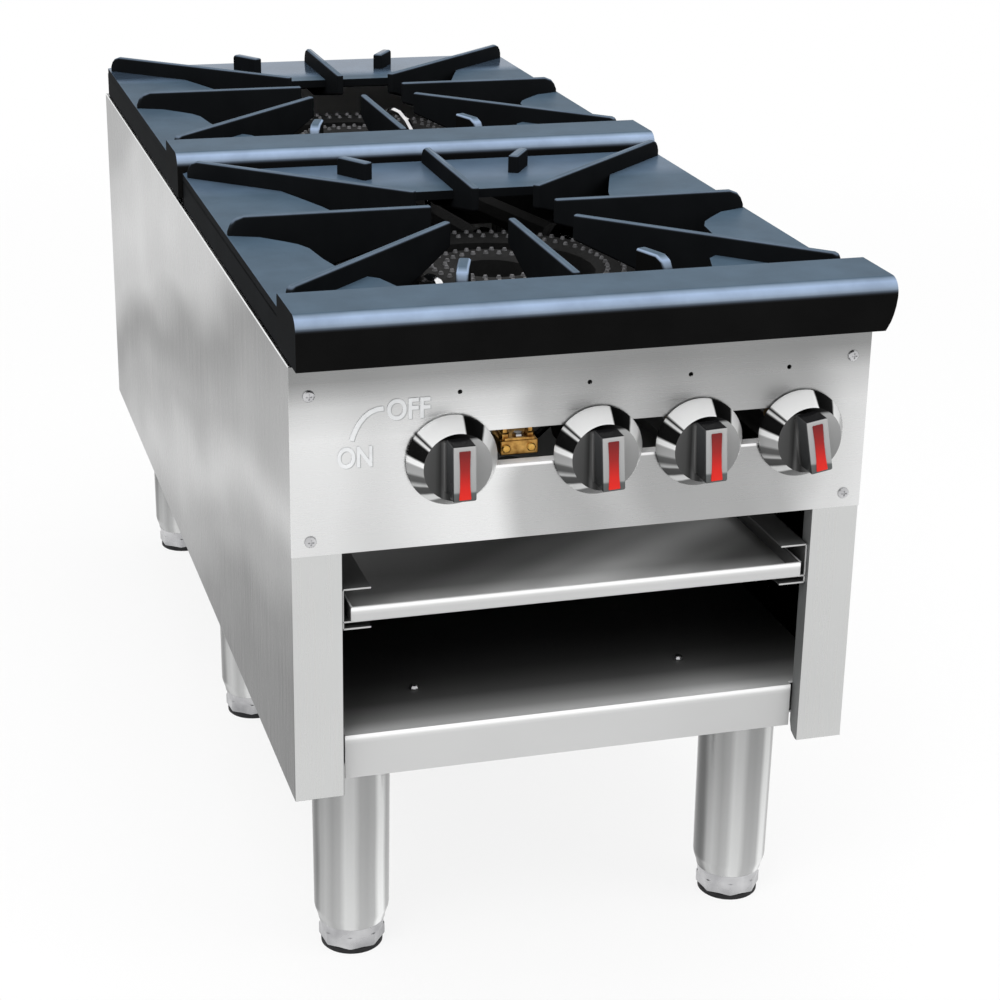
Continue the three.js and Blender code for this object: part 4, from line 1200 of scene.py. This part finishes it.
# Rows of raised ports round a burner's middle, one for each radius.
def makeNubs(name, radii, y, settings):
    clearSelection()
    bottom, top = settings["nubRadius"]
    high = settings["nubHigh"] / 1000
    bpy.ops.mesh.primitive_cone_add(vertices=10, radius1=bottom / 1000, radius2=top / 1000, depth=high)
    first = nameNew("nub")
    z = settings["top"] + settings["nubHigh"] / 2 - settings["nubSunk"]
    spots = []
    for radius in radii:
        count = int(math.tau * radius / settings["nubPitch"])
        for turn in (math.tau * step / count for step in range(count)):
            spots.append(place(radius * math.cos(turn), y + radius * math.sin(turn), z))
    copies = [first]
    for spot in spots[1:]:
        nub = newObject("nub", first.data.copy())
        nub.data.transform(Matrix.Translation(spot))
        copies.append(nub)
    first.data.transform(Matrix.Translation(spots[0]))
    return joined(name, copies)


for spot, y in starY.items():
    for size, (inside, outside) in burnerSettings["rings"].items():
        node = f"{spot}_{size}_burner"
        refined(node, 0, material=burnerIron, slot="burner_iron", smooth=35)
        inset = burnerSettings["portsInset"]
        nubs = makeNubs(f"{node}_ports", [inside + inset, outside - inset], y, burnerSettings)
        paint(nubs, burnerPortsHighlight)
        settle(nubs, "range", "burner_iron", node)
print("burners made")


fittings = [
    (blackPipe, "black_pipe", ["gas_manifold", "gas_supply_pipe"]),
    (brassFinish, "brass", ["valve_1", "valve_2", "valve_3", "valve_4"]),
    (brightTube, "aluminium", ["front_pilot_tube", "rear_pilot_tube"]),
    (brightTube, "aluminium", ["rear_inner_supply_tube", "rear_outer_supply_tube"]),
    (steelPaintedShade, "steel", ["front_burner_rest", "rear_burner_rest"]),
    (steelPaintedShade, "steel", ["front_crossbar", "middle_crossbar", "rear_crossbar"]),
]
for material, slot, nodes in fittings:
    for node in nodes:
        refined(node, 0, material=material, slot=slot, smooth=50)
for number in range(1, 5):
    body = f"knob_turning_{number}"
    refined(f"valve_stem_{number}", 0, body=body, material=zincFinish, slot="steel", smooth=50)


# Profiles are of (radius, run along the axis).
valveSettings = {
    "block": ((-64.4, 12.5, 441.6), (-34.6, 40, 453.2)),
    "shoulder": ((-61.5, 12.3, 453), (-37.5, 38, 455.3)),
    "posts": (-60.2, -40.4),
    "postY": 19,
    "post": [(0, 450), (4.3, 450), (4.3, 457.5), (3.1, 458.5), (3.1, 461.9), (2.5, 462.5), (0, 462.5)],
    "plugAt": (12.6, 447.2),
    "plug": [(0, 0), (3.4, 0), (3.4, -1), (2.6, -1.7), (0, -1.9)],
    "capAt": (-49.8, 18),
    "cap": [(0, 452), (4.2, 452), (4.2, 457), (3.2, 458.2), (0, 458.4)],
}


# The brass pilot valve in the slot: a block with two adjusting screws on top and two plugs in front.
def makePilotValve(settings):
    pieces = [paint(roundEdges(blockPiece("block", *settings["block"]), 1.2, 3), oldBrass)]
    pieces.append(paint(roundEdges(blockPiece("shoulder", *settings["shoulder"]), 0.8, 2), oldBrass))
    plugY, plugZ = settings["plugAt"]
    for x in settings["posts"]:
        post = turnedPiece("post", settings["post"], (x, settings["postY"], 0), "z", 6)
        plug = turnedPiece("plug", settings["plug"], (x, plugY, plugZ), "y", 24)
        pieces += [paint(smoothen(post, 20), oldBrass), paint(smoothen(plug, 30), brassFinish)]
    cap = turnedPiece("cap", settings["cap"], (*settings["capAt"], 0), "z", 6)
    pieces.append(paint(smoothen(cap, 20), zincFinish))
    return settle(joined("pilotValveShaped", pieces), "range", "brass", "pilot_valve")


oldBrass = plainMetal("oldBrass", (0.26, 0.12, 0.028), (0.74, 0.44, 0.13), 0.34, 150)
makePilotValve(valveSettings)


screwSettings = {
    "across": {"left": -214, "right": 214},
    "height": {"lower": 392, "upper": 505.3},
    "face": -1.8,  # the panel's front
    "radius": 4.6,
    "dome": 2.4,
    "profile": [
        # shares of the radius and of the dome
        (1, 0), (1, 0.25), (0.93, 0.5), (0.75, 0.78), (0.45, 0.95), (0, 1), (0, 0),
    ],
    "cross": (0.52, 0.13, 0.55),  # half its length and width as shares of the radius, its depth of the dome
}


# A domed head with a cross recess.
def screwHead(name, x, z, settings):
    y, radius, dome = settings["face"], settings["radius"], settings["dome"]
    profile = [(radius * out, -dome * share) for out, share in settings["profile"]]
    head = turnedPiece(name, profile, (x, y, z), "y", 40)
    arm, wide, deep = settings["cross"]
    sizes = [(radius * arm, radius * wide), (radius * wide, radius * arm)]
    tools = [
        blockPiece("slot", (x - half, y - dome - 1, z - tall), (x + half, y - dome * (1 - deep), z + tall))
        for half, tall in sizes
    ]
    return paint(smoothen(cutAway(head, *tools), 35), zincFinish)


for level, z in screwSettings["height"].items():
    for side, x in screwSettings["across"].items():
        head = screwHead(f"panel_screw_{level}_{side}_head", x, z, screwSettings)
        settle(head, "range", "steel", f"panel_screw_{level}_{side}")
for side in ("left", "right"):
    refined(f"shelf_bolt_{side}", 0.4, material=zincFinish, slot="steel")
print("fittings made")
